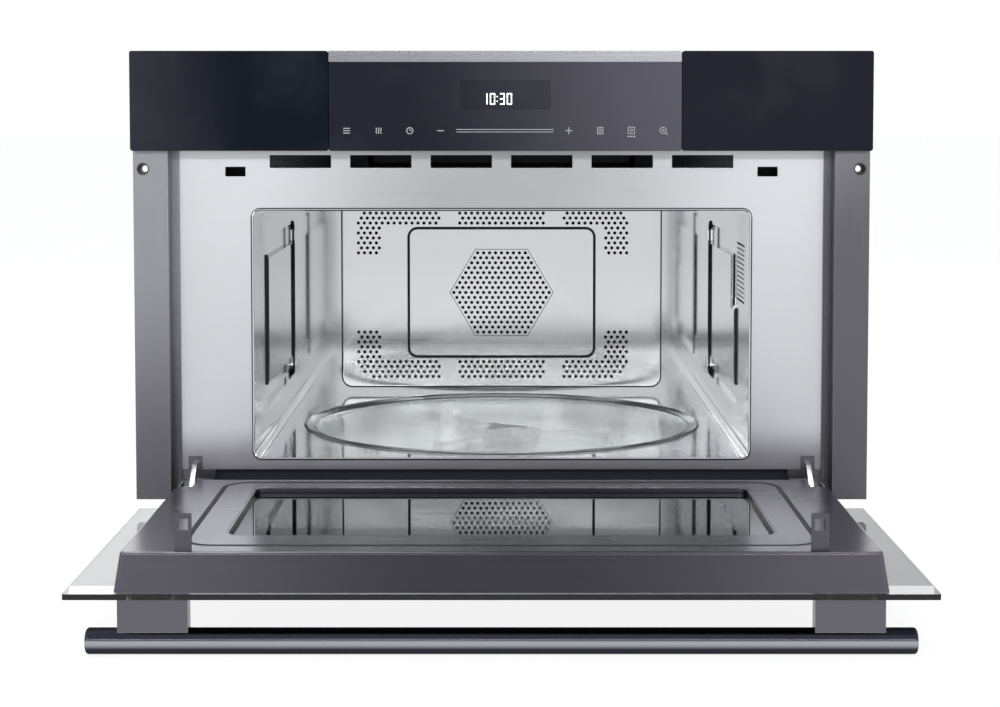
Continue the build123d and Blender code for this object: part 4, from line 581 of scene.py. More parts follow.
class Surface:
    """A material under construction, with its principled shader and the piece's own coordinates."""

    def __init__(self, name: str) -> None:
        """Starts a material with its output.

        Args:
            name: name of the material.
        """
        self.material = bpy.data.materials.new(name)
        self.material.use_nodes = True
        self.sheet = Sheet(self.material.node_tree)
        self.shader = self.sheet.add("ShaderNodeBsdfPrincipled")
        self.sheet.add("ShaderNodeOutputMaterial", {"Surface": self.shader.outputs[0]})
        own = self.sheet.add("ShaderNodeTexCoord").outputs
        self.place = own["Object"]
        self.facing = own["Normal"]

    def effect(self, tree: bpy.types.NodeTree, **inputs: object) -> bpy.types.Node:
        """Places a shared effect.

        Args:
            tree: the effect's group.
            **inputs: its inputs, with underscores in their names for spaces.

        Returns:
            The effect's node.
        """
        node = self.sheet.add("ShaderNodeGroup", node_tree=tree)
        self.sheet.join(self.place, node.inputs["Coordinates"])
        for key, value in inputs.items():
            self.sheet.feed(value, node.inputs[key.replace("_", " ")])
        return node

    def set(self, **inputs: object) -> None:
        """Sets or joins the shader's inputs.

        Args:
            **inputs: the inputs, with underscores in their names for spaces.
        """
        for key, value in inputs.items():
            self.sheet.feed(value, self.shader.inputs[key.replace("_", " ")])

    def raise_by(self, height: bpy.types.NodeSocket, strength: float, distance: float) -> None:
        """Lets a height disturb the surface's normal."""
        bump = self.sheet.add("ShaderNodeBump", {"Height": height, "Strength": strength,
                                                 "Distance": distance})
        self.sheet.join(bump.outputs[0], self.shader.inputs["Normal"])


def rgba(colour: Colour) -> tuple[float, float, float, float]:
    """Adds a full opacity to a colour."""
    return (*colour, 1.0)


@dataclass(frozen=True)
class PaintedLight:
    """Painted light and shade: a slow change of a finish's tone across a piece, between two places in
    metres along a direction.
    """

    other: Colour
    direction: Point3
    start: float
    end: float
    mirrored: bool = False
    facing: Point3 | None = None
    facing_range: Point2 = (0.6, 0.9)

    def share(self, surface: Surface) -> bpy.types.NodeSocket:
        """Adds the change to a material.

        Args:
            surface: the material.

        Returns:
            How much of the other tone shows.
        """
        share = surface.effect(EFFECTS.painted_light, Direction=self.direction, Start=self.start, End=self.end,
                               Mirrored=float(self.mirrored)).outputs[0]
        if self.facing is None:
            return share
        sheet = surface.sheet
        turned = sheet.add("ShaderNodeVectorMath", {0: surface.facing, 1: self.facing},
                           operation="DOT_PRODUCT")
        towards = sheet.spread(turned.outputs["Value"], 0.0, 1.0, *self.facing_range)
        return sheet.number("MULTIPLY", share, towards)


@dataclass(frozen=True)
class Steel:
    """Bare or tinted sheet steel with brush lines, wiped marks, edges lightened partly by wear and partly
    by a painted highlight, and painted light and shade where it is given.
    """

    name: str
    tone: Colour
    roughness: float
    grain: Grain = Grain.ALONG_X
    tone_spread: float = 0.10
    roughness_spread: float = 0.10
    bump: float = 0.06
    edge: float = 0.25
    grazing: float = 1.0
    painted_lights: tuple[PaintedLight, ...] = ()

    def build(self) -> bpy.types.Material:
        """Builds the material.

        Returns:
            The new material.
        """
        surface = Surface(self.name)
        sheet = surface.sheet
        tone: object = rgba(self.tone)
        for painted_light in self.painted_lights:
            tone = sheet.mixed(painted_light.share(surface), tone, rgba(painted_light.other))
        lines = surface.effect(EFFECTS.grain, Stretch=self.grain.value, Tone=tone,
                               Tone_Spread=self.tone_spread, Roughness=self.roughness,
                               Roughness_Spread=self.roughness_spread)
        marks = surface.effect(EFFECTS.smudge, Size=7.0).outputs[0]
        wear_and_sheen = surface.effect(EFFECTS.wear_and_sheen, Width=0.0007).outputs[0]
        bright = sheet.mixed(sheet.number("MULTIPLY", wear_and_sheen, self.edge), lines.outputs["Colour"],
                             rgba((0.80, 0.80, 0.82)))
        rough = sheet.number("ADD", lines.outputs["Roughness"],
                             sheet.number("MULTIPLY", marks, 0.05), clamp=True)
        surface.set(Base_Color=bright, Metallic=1.0, Roughness=rough,
                    Specular_Tint=rgba((self.grazing,) * 3))
        surface.raise_by(lines.outputs["Height"], self.bump, 0.0002)
        return surface.material


@dataclass(frozen=True)
class Zinc:
    """Galvanised sheet with its crystal patches."""

    name: str
    tone: Colour = (0.50, 0.52, 0.54)

    def build(self) -> bpy.types.Material:
        """Builds the material.

        Returns:
            The new material.
        """
        surface = Surface(self.name)
        sheet = surface.sheet
        patches = surface.effect(EFFECTS.spangle, Size=95.0).outputs[0]
        small = surface.effect(EFFECTS.spangle, Size=260.0).outputs[0]
        both = sheet.number("ADD", sheet.number("MULTIPLY", patches, 0.65),
                            sheet.number("MULTIPLY", small, 0.35))
        dark = tuple(value * 0.82 for value in self.tone)
        light = tuple(min(1.0, value * 1.16) for value in self.tone)
        colour = sheet.mixed(both, rgba(dark), rgba(light))
        marks = surface.effect(EFFECTS.smudge, Size=5.0, Low=0.45, High=0.65).outputs[0]
        dulled = sheet.mixed(sheet.number("MULTIPLY", marks, 0.25), colour, rgba((0.42, 0.43, 0.44)))
        # Lighter edges: partly rubbed wear, partly a painted highlight.
        wear_and_sheen = surface.effect(EFFECTS.wear_and_sheen, Width=0.0006).outputs[0]
        edged = sheet.mixed(sheet.number("MULTIPLY", wear_and_sheen, 0.4), dulled, rgba((0.78, 0.79, 0.80)))
        surface.set(Base_Color=edged, Metallic=0.85, Roughness=sheet.spread(both, 0.34, 0.50))
        surface.raise_by(both, 0.05, 0.0003)
        return surface.material


@dataclass(frozen=True)
class GlossGlass:
    """Glass printed dark on its back, so that it is opaque with a clear gloss."""

    name: str
    tone: Colour
    painted_lights: tuple[PaintedLight, ...] = ()
    roughness: float = 0.03
    index: float = 1.18

    def build(self) -> bpy.types.Material:
        """Builds the material.

        Returns:
            The new material.
        """
        surface = Surface(self.name)
        sheet = surface.sheet
        tone: object = rgba(self.tone)
        for painted_light in self.painted_lights:
            tone = sheet.mixed(painted_light.share(surface), tone, rgba(painted_light.other))
        marks = surface.effect(EFFECTS.smudge, Size=11.0, Low=0.45, High=0.75).outputs[0]
        cloud = sheet.mixed(sheet.number("MULTIPLY", marks, 0.12), tone, rgba((0.10, 0.10, 0.12)))
        rough = sheet.spread(marks, self.roughness, self.roughness + 0.05)
        surface.set(Base_Color=cloud, Roughness=rough, IOR=self.index)
        return surface.material


@dataclass(frozen=True)
class ClearGlass:
    """Clear glass with a faint tint and, where it is given, a share of mirror."""

    name: str
    tint: Colour
    roughness: float = 0.0
    index: float = 1.45
    painted_light: PaintedLight | None = None
    mirror: float = 0.0

    def build(self) -> bpy.types.Material:
        """Builds the material.

        Returns:
            The new material.
        """
        surface = Surface(self.name)
        marks = surface.effect(EFFECTS.smudge, Size=8.0, Low=0.5, High=0.8).outputs[0]
        tint: object = rgba(self.tint)
        if self.painted_light:
            tint = surface.sheet.mixed(self.painted_light.share(surface), tint, rgba(self.painted_light.other))
        cloud = rgba(tuple(value * 0.97 for value in self.tint))
        colour = surface.sheet.mixed(surface.sheet.number("MULTIPLY", marks, 0.3), tint, cloud, "MULTIPLY")
        rough = surface.sheet.spread(marks, self.roughness, self.roughness + 0.02)
        surface.set(Base_Color=colour, Roughness=rough, IOR=self.index, Metallic=self.mirror,
                    Transmission_Weight=1.0)
        return surface.material


@dataclass(frozen=True)
class MirrorGlass:
    """Window pane with a reflecting coat."""

    name: str
    tone: Colour
    grazing: float = 0.74

    def build(self) -> bpy.types.Material:
        """Builds the material.

        Returns:
            The new material.
        """
        surface = Surface(self.name)
        marks = surface.effect(EFFECTS.smudge, Size=6.0, Low=0.45, High=0.75).outputs[0]
        # Painted shade: the pane is darker towards the front, from 0.3 m to 0.5 m in front of the frame's
        # origin.
        shade = surface.effect(EFFECTS.painted_light, Direction=(0.0, 1.0, 0.0), Start=-0.50, End=-0.30).outputs[0]
        lower = tuple(value * 0.82 for value in self.tone)
        colour = surface.sheet.mixed(shade, rgba(lower), rgba(self.tone))
        tint = rgba((self.grazing,) * 3)
        surface.set(Base_Color=colour, Metallic=1.0, Specular_Tint=tint,
                    Roughness=surface.sheet.spread(marks, 0.015, 0.05))
        return surface.material


@dataclass(frozen=True)
class Plastic:
    """Moulded plastic or rubber with a fine texture and edges made paler, partly by wear and partly by a
    painted highlight.
    """

    name: str
    tone: Colour
    roughness: float = 0.5
    texture: float = 900.0
    bump: float = 0.12
    edge: float = 0.15

    def build(self) -> bpy.types.Material:
        """Builds the material.

        Returns:
            The new material.
        """
        surface = Surface(self.name)
        sheet = surface.sheet
        stretch = (self.texture, self.texture, self.texture)
        grain = surface.effect(EFFECTS.grain, Stretch=stretch, Tone=rgba(self.tone), Tone_Spread=0.05,
                               Roughness=self.roughness, Roughness_Spread=0.06)
        wear_and_sheen = surface.effect(EFFECTS.wear_and_sheen, Width=0.0005).outputs[0]
        pale = tuple(min(1.0, value * 2.2 + 0.02) for value in self.tone)
        colour = sheet.mixed(sheet.number("MULTIPLY", wear_and_sheen, self.edge), grain.outputs["Colour"],
                             rgba(pale))
        surface.set(Base_Color=colour, Roughness=grain.outputs["Roughness"])
        surface.raise_by(grain.outputs["Height"], self.bump, 0.0002)
        return surface.material


@dataclass(frozen=True)
class Print:
    """White or lit ink on the control panel's glass."""

    name: str
    tone: Colour
    glow: float

    def build(self) -> bpy.types.Material:
        """Builds the material.

        Returns:
            The new material.
        """
        surface = Surface(self.name)
        dots = surface.effect(EFFECTS.smudge, Size=900.0, Low=0.3, High=0.5).outputs[0]
        dim = tuple(value * 0.88 for value in self.tone)
        colour = surface.sheet.mixed(dots, rgba(dim), rgba(self.tone))
        surface.set(Base_Color=colour, Emission_Color=colour, Emission_Strength=self.glow, Roughness=0.4)
        return surface.material


def settled(holder: bpy.types.Object, tree: bpy.types.NodeTree, values: dict[str, object],
            name: str) -> bpy.types.Mesh:
    """Runs a geometry tree on an object and turns the result into a plain mesh.

    Args:
        holder: the object that the tree starts from, which is used up.
        tree: the geometry tree.
        values: a value for each of the tree's inputs by name.
        name: name of the new mesh.

    Returns:
        The new mesh.
    """
    bpy.context.scene.collection.objects.link(holder)
    modifier = holder.modifiers.new("make", "NODES")
    modifier.node_group = tree
    for item in tree.interface.items_tree:
        if item.item_type == "SOCKET" and item.in_out == "INPUT" and item.name in values:
            modifier[item.identifier] = values[item.name]
    depsgraph = bpy.context.evaluated_depsgraph_get()
    mesh = bpy.data.meshes.new_from_object(holder.evaluated_get(depsgraph))
    holder.modifiers.remove(modifier)
    start = holder.data
    bpy.data.objects.remove(holder)
    bpy.data.meshes.remove(start)
    mesh.name = name
    return mesh


def points_object(name: str, places: Sequence[Vector], facing: Sequence[Vector]) -> bpy.types.Object:
    """Makes an object of loose points that each know which way they face.

    Args:
        name: name of the object.
        places: the points, in metres.
        facing: the direction that each point faces.

    Returns:
        The new object.
    """
    mesh = bpy.data.meshes.new(name)
    mesh.from_pydata([tuple(place) for place in places], [], [])
    store = mesh.attributes.new("facing", "FLOAT_VECTOR", "POINT")
    for item, direction in zip(store.data, facing):
        item.vector = direction
    return bpy.data.objects.new(name, mesh)


def tool_object(name: str, mesh: bpy.types.Mesh) -> bpy.types.Object:
    """Makes an unlinked object that a geometry tree takes as an input."""
    return bpy.data.objects.new(name, mesh)


class Makers:
    """Geometry trees for what repeats, each built once."""

    def __init__(self) -> None:
        """Builds every tree."""
        self.scatter = self.build_scatter()
        self.row = self.build_row()
        self.perforate = self.build_perforate()

    def build_scatter(self) -> bpy.types.NodeTree:
        """Builds the tree that sets a part on every point, facing outwards with a chance turn.

        Returns:
            The tree.
        """
        sheet, given = new_group(
            "parts_on_points",
            {"Geometry": "NodeSocketGeometry", "Part": "NodeSocketObject", "Seed": ("NodeSocketInt", 3),
             "Largest Turn": (FLOAT, FULL_TURN), "Finish": "NodeSocketMaterial"},
            {"Geometry": "NodeSocketGeometry"}, "GeometryNodeTree")
        take = given.outputs
        part = sheet.add("GeometryNodeObjectInfo", {"Object": take["Part"]})
        facing = sheet.add("GeometryNodeInputNamedAttribute", {"Name": "facing"}, data_type="FLOAT_VECTOR")
        aimed = sheet.add("FunctionNodeAlignRotationToVector", {"Vector": facing.outputs["Attribute"]},
                          axis="Z")
        chance = sheet.add("FunctionNodeRandomValue", {"Seed": take["Seed"]}, data_type="FLOAT")
        sheet.join(take["Largest Turn"], [s for s in chance.inputs if s.name == "Max" and s.enabled][0])
        about = sheet.add("FunctionNodeAxisAngleToRotation", {"Axis": (0.0, 0.0, 1.0)})
        sheet.join([s for s in chance.outputs if s.enabled][0], about.inputs["Angle"])
        turned = sheet.add("FunctionNodeRotateRotation", {0: aimed.outputs[0], 1: about.outputs[0]},
                           rotation_space="LOCAL")
        copies = sheet.add("GeometryNodeInstanceOnPoints",
                           {"Points": take["Geometry"], "Instance": part.outputs["Geometry"],
                            "Rotation": turned.outputs[0]})
        self.close(sheet, copies.outputs[0], take["Finish"])
        return sheet.tree

    def build_row(self) -> bpy.types.NodeTree:
        """Builds the tree that repeats the holder's own mesh in a straight row.

        Returns:
            The tree.
        """
        sheet, given = new_group(
            "parts_in_a_row",
            {"Geometry": "NodeSocketGeometry", "Count": ("NodeSocketInt", 3), "Start": VECTOR,
             "Step": VECTOR, "Finish": "NodeSocketMaterial"},
            {"Geometry": "NodeSocketGeometry"}, "GeometryNodeTree")
        take = given.outputs
        line = sheet.add("GeometryNodeMeshLine", {"Count": take["Count"], "Start Location": take["Start"],
                                                  "Offset": take["Step"]}, mode="OFFSET")
        copies = sheet.add("GeometryNodeInstanceOnPoints", {"Points": line.outputs[0],
                                                            "Instance": take["Geometry"]})
        self.close(sheet, copies.outputs[0], take["Finish"])
        return sheet.tree

    def build_perforate(self) -> bpy.types.NodeTree:
        """Builds the tree that cuts a round hole through a sheet at every point.

        Returns:
            The tree.
        """
        sheet, given = new_group(
            "holes_at_points",
            {"Geometry": "NodeSocketGeometry", "Sheet": "NodeSocketObject", "Radius": (FLOAT, 0.0017),
             "Depth": (FLOAT, 0.004), "Sides": ("NodeSocketInt", 12), "Finish": "NodeSocketMaterial"},
            {"Geometry": "NodeSocketGeometry"}, "GeometryNodeTree")
        take = given.outputs
        plate = sheet.add("GeometryNodeObjectInfo", {"Object": take["Sheet"]})
        punch = sheet.add("GeometryNodeMeshCylinder", {"Vertices": take["Sides"], "Radius": take["Radius"],
                                                       "Depth": take["Depth"]})
        laid = sheet.add("GeometryNodeTransform", {"Geometry": punch.outputs[0],
                                                   "Rotation": (pi / 2, 0.0, 0.0)})
        copies = sheet.add("GeometryNodeInstanceOnPoints", {"Points": take["Geometry"],
                                                            "Instance": laid.outputs[0]})
        solid = sheet.add("GeometryNodeRealizeInstances", {0: copies.outputs[0]})
        cut = sheet.add("GeometryNodeMeshBoolean", operation="DIFFERENCE", solver="MANIFOLD")
        sheet.join(plate.outputs["Geometry"], cut.inputs[0])
        sheet.join(solid.outputs[0], cut.inputs[1])
        self.close(sheet, cut.outputs[0], take["Finish"])
        return sheet.tree

    def close(self, sheet: Sheet, shape: bpy.types.NodeSocket, finish: bpy.types.NodeSocket) -> None:
        """Ends a tree in plain geometry with its material."""
        real = sheet.add("GeometryNodeRealizeInstances", {0: shape})
        dressed = sheet.add("GeometryNodeSetMaterial", {"Geometry": real.outputs[0], "Material": finish})
        sheet.add("NodeGroupOutput", {0: dressed.outputs[0]})


MAKERS = Makers()


def set_piece(mesh: bpy.types.Mesh, finish: bpy.types.Material, body: str, slot: str,
              *stands_for: str) -> bpy.types.Object:
    """Puts a finished mesh in the scene as a piece.

    Args:
        mesh: the piece's mesh, which also gives its name.
        finish: the piece's material.
        body: the body that it rides on.
        slot: the record's material slot of the piece, which is not used.
        *stands_for: the CAD nodes that it replaces.

    Returns:
        The piece's object.
    """
    piece = bpy.data.objects.new(mesh.name, mesh)
    bpy.context.scene.collection.objects.link(piece)
    mesh.materials.clear()
    mesh.materials.append(finish)
    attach(piece, body)
    if stands_for:
        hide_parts(*stands_for)
    LOG.info("%s on %s, %d faces", piece.name, body, len(mesh.polygons))
    return piece


def keep_node(node: str, finish: bpy.types.Material) -> None:
    """Gives a CAD node that stays its material.

    Args:
        node: name of the CAD node.
        finish: the material.
    """
    shape = frame["nodes"][node]
    if not shape.material_slots:
        shape.data.materials.append(finish)
    for slot in shape.material_slots:
        slot.material = finish
    LOG.info("%s kept", node)


def dress_node(node: str, finish: bpy.types.Material, edge: float = 0.35, segments: int = 2,
               smooth: float = SMOOTH_ANGLE) -> bpy.types.Object:
    """Puts a copy of a CAD node with rounded edges in its place.

    Args:
        node: name of the CAD node.
        finish: the copy's material.
        edge: width of the rounding in millimetres.
        segments: number of parts in the rounding.
        smooth: angle in degrees up to which neighbouring faces share their shading.

    Returns:
        The copy.
    """
    mesh = rounded_edges(merged_copy(node, smooth, edge > 0.0), edge, segments)
    mesh.name = f"{node}_dressed"
    return set_piece(mesh, finish, body_of_node(node), slot_of_node(node), node)


Finish = Steel | Zinc | GlossGlass | ClearGlass | MirrorGlass | Plastic | Print


@dataclass
class Finishes:
    """Every finish of the oven, built as it is first asked for."""

    built: dict[str, bpy.types.Material] = field(default_factory=dict)

    def of(self, finish: Finish) -> bpy.types.Material:
        """Gives the material of a finish."""
        if finish.name not in self.built:
            self.built[finish.name] = finish.build()
        return self.built[finish.name]


# Painted light: the plate is lighter towards both sides and darker low down, below 48 mm.
PLATE = Steel("brushed_plate", (0.37, 0.38, 0.395), 0.30, tone_spread=0.018,
              roughness_spread=0.05, bump=0.03, painted_lights=(
                  PaintedLight((0.57, 0.58, 0.605), (1.0, 0.0, 0.0), 0.03, 0.23, True),
                  PaintedLight((0.27, 0.266, 0.29), (0.0, 0.0, 1.0), 0.080, 0.048)))
# Painted reflection: the polished cavity sheets are lighter below 88 mm, fading out by 112 mm.
MIRROR_STEEL = Steel("polished_cavity", (0.575, 0.585, 0.60), 0.08, tone_spread=0.02,
                     roughness_spread=0.03, bump=0.01,
                     painted_lights=(PaintedLight((0.63, 0.64, 0.655), (0.0, 0.0, 1.0), 0.112, 0.088),))
# Painted reflection: the tray is much lighter below 88 mm, fading out by 106 mm.
TRAY_STEEL = Steel("pressed_tray", (0.62, 0.63, 0.645), 0.08, tone_spread=0.02, roughness_spread=0.03,
                   bump=0.01, painted_lights=(PaintedLight((0.92, 0.93, 0.945), (0.0, 0.0, 1.0), 0.106, 0.088),))
# Painted light: a lit copy of the polished cavity steel, far lighter, for the right-hand wall.
BRIGHT_STEEL = Steel("bright_cavity", (0.90, 0.91, 0.92), 0.08, tone_spread=0.02,
                     roughness_spread=0.03, bump=0.01)
FLOOR_STEEL = Steel("polished_floor", (0.655, 0.665, 0.68), 0.08, tone_spread=0.02, roughness_spread=0.03,
                    bump=0.01)
# Painted light: the trims are lighter towards the top, the left trim more than the right.
TRIM_STEEL = Steel("tinted_trim", (0.118, 0.116, 0.132), 0.34, Grain.ALONG_Z, tone_spread=0.04,
                   painted_lights=(PaintedLight((0.26, 0.26, 0.285), (0.35, 0.0, -1.0), -0.13, -0.32),))
# Painted light: the pan is lighter towards both sides, and its upward faces lighter still towards the left.
PAN_STEEL = Steel("tinted_pan", (0.048, 0.046, 0.060), 0.22, tone_spread=0.03, roughness_spread=0.04,
                  bump=0.03, edge=0.2, grazing=0.93, painted_lights=(
                      PaintedLight((0.105, 0.100, 0.120), (1.0, 0.0, 0.0), 0.04, 0.27, True),
                      PaintedLight((0.30, 0.295, 0.32), (1.0, 0.0, 0.0), 0.02, -0.16, facing=(0.0, 0.0, 1.0))))
# Painted highlight: a light band along the middle of the bar, with painted dark reflection above and below
# it.
BAR_STEEL = Steel("tinted_bar", (0.36, 0.36, 0.395), 0.17, tone_spread=0.05, edge=0.0, grazing=0.5, painted_lights=(
    PaintedLight((0.034, 0.036, 0.048), (0.0, 0.0, 1.0), -0.0258, -0.0243),
    PaintedLight((0.028, 0.030, 0.042), (0.0, 0.0, 1.0), -0.0272, -0.0315)))
POST_STEEL = Steel("tinted_post", (0.135, 0.130, 0.150), 0.30, tone_spread=0.05, edge=0.3)
HOOK_STEEL = Steel("tinted_hook", (0.095, 0.092, 0.108), 0.38, tone_spread=0.05, edge=0.2, grazing=0.5)
CHROME = Steel("bright_hinge", (0.80, 0.80, 0.82), 0.12, Grain.ROLLED, tone_spread=0.03,
               roughness_spread=0.03, bump=0.01)
# Painted light: the strip is lighter towards the right.
STRIP = Steel("fine_strip", (0.195, 0.20, 0.22), 0.28, tone_spread=0.08,
              painted_lights=(PaintedLight((0.32, 0.325, 0.345), (1.0, 0.0, 0.0), -0.13, 0.14),))
PLAIN_STEEL = Steel("plain_steel", (0.36, 0.36, 0.38), 0.36, Grain.ROLLED, tone_spread=0.08)
FAN_METAL = Steel("stamped_metal", (0.62, 0.63, 0.65), 0.30, Grain.ROLLED, tone_spread=0.05)
HEATER = Steel("oxidised_tube", (0.10, 0.09, 0.085), 0.48, Grain.ROLLED, tone_spread=0.25)
ZINC = Zinc("galvanised")
# Painted reflection: the left pane lightens towards its outer end and the right pane is lighter throughout.
NAVY_GLASS = GlossGlass("navy_glass", (0.002, 0.005, 0.012), (
    PaintedLight((0.030, 0.029, 0.040), (-1.0, 0.0, 0.0), 0.20, 0.31),
    PaintedLight((0.0125, 0.0135, 0.022), (1.0, 0.0, 0.0), 0.0, 0.15)))
# Painted reflection: the centre glass lightens towards the right.
GREY_GLASS = GlossGlass("grey_glass", (0.014, 0.016, 0.025), (
    PaintedLight((0.112, 0.105, 0.130), (1.0, 0.0, 0.25), 0.0, 0.26),))
# Painted reflection: the lens lightens towards the right.
LENS_GLASS = GlossGlass("display_lens", (0.011, 0.013, 0.021), (
    PaintedLight((0.082, 0.077, 0.096), (1.0, 0.0, 0.25), 0.0, 0.26),))
BORDER_PRINT = GlossGlass("border_print", (0.011, 0.012, 0.020))
# Painted reflection: dark rings standing for the lines that the thick rim glass shows.
LINE_GLASS = GlossGlass("dark_glass_edge", (0.055, 0.058, 0.068))
# Painted shade: the door glass's tint darkens towards the right.
DOOR_GLASS = ClearGlass("door_glass", (0.58, 0.60, 0.61),
                        painted_light=PaintedLight((0.225, 0.23, 0.24), (1.0, 0.0, 0.0), -0.12, 0.26))
PLATTER_GLASS = ClearGlass("turntable_glass", (0.93, 0.95, 0.95), 0.20, 1.03, mirror=0.22)
WINDOW = MirrorGlass("window_mirror", (0.165, 0.165, 0.18))
CHAMBER_BLACK = Steel("blackened_steel", (0.012, 0.013, 0.016), 0.5, Grain.ROLLED, tone_spread=0.2,
                      edge=0.0)
BLACK_PLASTIC = Plastic("black_plastic", (0.030, 0.030, 0.034))
# Painted shade: the exhaust duct is near-black navy, standing for the shade inside the vents.
DUCT_SHADE = Plastic("duct_plastic", (0.007, 0.011, 0.017), 0.6)
PALE_PLASTIC = Plastic("pale_plastic", (0.70, 0.70, 0.68), 0.45)
RUBBER = Plastic("seal_rubber", (0.016, 0.016, 0.020), 0.62, 500.0, 0.2)
SHADOW_GAP = Plastic("shadow_gap", (0.010, 0.012, 0.022), 0.7, 500.0, 0.0, 0.0)
BOARD = Plastic("circuit_board", (0.03, 0.16, 0.08), 0.35)
MICA = Plastic("mica_sheet", (0.58, 0.52, 0.38), 0.40, 60.0, 0.3)
FERRITE = Plastic("ferrite", (0.06, 0.06, 0.065), 0.6)
FIBRE = Plastic("fibre_mat", (0.66, 0.64, 0.54), 0.95, 260.0, 0.9)
BULB = ClearGlass("bulb_glass", (0.95, 0.94, 0.90), 0.05)
# Painted light: the white print glows faintly, though it is no lamp.
WHITE_PRINT = Print("white_print", (0.46, 0.47, 0.50), 0.10)
LIT_PRINT = Print("lit_digits", (0.95, 0.97, 1.0), 1.3)

FINISHES = Finishes()


@dataclass
class Studio:
    """Floor, lights, surroundings and camera."""

    eye: Point3 = (0.0, -1904.5, 335.5)
    focal_pixels: float = 2025.7
    picture: tuple[int, int] = (1000, 707)
    vanishing_point: Point2 = (501.5, 96.9)
    tilt_up: float = 0.0072
    shift_down: float = 0.12
    floor_level: float = -36.3
    floor_reach: float = 30000.0
    sensor: float = 36.0
    air_tone: Colour = (0.93, 0.96, 1.0)
    air_strength: float = 0.62
    floor_tone: Colour = (0.86, 0.86, 0.87)
    white: Colour = (1.0, 1.0, 1.0)
    floor_glow: float = 1.10
    glow_share: float = 0.80

    def build(self) -> None:
        """Builds the whole studio."""
        self.build_surroundings()
        self.build_floor()
        self.build_lights()
        self.build_camera()
        bpy.context.scene.view_settings.view_transform = "Standard"

    def background_share(self, sheet: Sheet) -> bpy.types.NodeSocket:
        """Gives one for rays that show the background, and nought for rays that light the object."""
        rays = sheet.add("ShaderNodeLightPath").outputs
        seen = sheet.number("MAXIMUM", rays["Is Camera Ray"], rays["Is Glossy Ray"])
        return sheet.number("MAXIMUM", seen, rays["Is Transmission Ray"])

    def build_surroundings(self) -> None:
        """Makes a white background and a softer light from all round."""
        world = bpy.data.worlds.new("studio_air")
        bpy.context.scene.world = world
        world.use_nodes = True
        sheet = Sheet(world.node_tree)
        light = sheet.add("ShaderNodeBackground", {"Color": rgba(self.air_tone),
                                                   "Strength": self.air_strength})
        white = sheet.add("ShaderNodeBackground", {"Color": rgba(self.white), "Strength": 1.0})
        both = sheet.add("ShaderNodeMixShader", {0: self.background_share(sheet), 1: light.outputs[0],
                                                 2: white.outputs[0]})
        sheet.add("ShaderNodeOutputWorld", {"Surface": both.outputs[0]})

    def build_floor(self) -> None:
        """Lays the pale floor, which keeps the oven's shadow."""
        reach = self.floor_reach * MM
        level = self.floor_level * MM
        mesh = bpy.data.meshes.new("floor")
        mesh.from_pydata([(-reach, -reach, level), (reach, -reach, level), (reach, reach, level),
                          (-reach, reach, level)], [], [(0, 1, 2, 3)])
        floor = bpy.data.objects.new("floor", mesh)
        bpy.context.scene.collection.objects.link(floor)
        surface = Surface("pale_floor")
        sheet = surface.sheet
        surface.set(Base_Color=rgba(self.floor_tone), Roughness=0.9)
        glow = sheet.add("ShaderNodeEmission", {"Color": rgba(self.white), "Strength": self.floor_glow})
        share = sheet.number("MULTIPLY", self.background_share(sheet), self.glow_share)
        both = sheet.add("ShaderNodeMixShader", {0: share, 1: surface.shader.outputs[0],
                                                 2: glow.outputs[0]})
        out = [node for node in sheet.tree.nodes if node.type == "OUTPUT_MATERIAL"][0]
        sheet.join(both.outputs[0], out.inputs["Surface"])
        mesh.materials.append(surface.material)

    def soft_light(self, name: str, place: Point3, aim: Point3, size: Point2, power: float) -> None:
        """Hangs a soft rectangular lamp.

        Args:
            name: name of the lamp.
            place: where it hangs, in millimetres.
            aim: the point that it faces.
            size: its width and height.
            power: its power in watts.
        """
        lamp = bpy.data.lights.new(name, "AREA")
        lamp.shape = "RECTANGLE"
        lamp.size = size[0] * MM
        lamp.size_y = size[1] * MM
        lamp.energy = power
        holder = bpy.data.objects.new(name, lamp)
        bpy.context.scene.collection.objects.link(holder)
        holder.location = Vector(place) * MM
        way = (Vector(aim) - Vector(place)).normalized()
        holder.rotation_euler = way.to_track_quat("-Z", "Y").to_euler()

    def build_lights(self) -> None:
        """Hangs a large lamp overhead, a softer one on each side and a thin strip in front."""
        self.soft_light("overhead", (0, -500, 2200), (0, -100, 150), (2600, 1800), 14.0)
        self.soft_light("left_side", (-2300, -1500, 1200), (0, -100, 150), (1500, 1500), 13.0)
        self.soft_light("right_side", (2400, -1300, 1000), (0, -100, 150), (1500, 1500), 6.0)
        self.soft_light("front_strip", (0, -2300, 780), (0, -400, 0), (2600, 70), 11.0)
        self.soft_light("rear", (0, 2400, 1400), (0, 0, 150), (2000, 1400), 9.0)

    def build_camera(self) -> None:
        """Sets the camera up at the photograph's place, with part of its framing as shift."""
        width, height = self.picture
        lens = bpy.data.cameras.new("camera")
        lens.sensor_width = self.sensor
        lens.lens = self.focal_pixels / width * self.sensor
        lens.shift_x = (width / 2 - self.vanishing_point[0]) / width
        lens.shift_y = -self.shift_down
        lens.clip_end = 100.0
        holder = bpy.data.objects.new("camera", lens)
        bpy.context.scene.collection.objects.link(holder)
        holder.location = Vector(self.eye) * MM
        drop = height / 2 - self.vanishing_point[1] - self.shift_down * width
        slope = atan2(drop, self.focal_pixels) - self.tilt_up
        way = Vector((0.0, cos(slope), -sin(slope)))
        holder.rotation_euler = way.to_track_quat("-Z", "Y").to_euler()
        bpy.context.scene.camera = holder


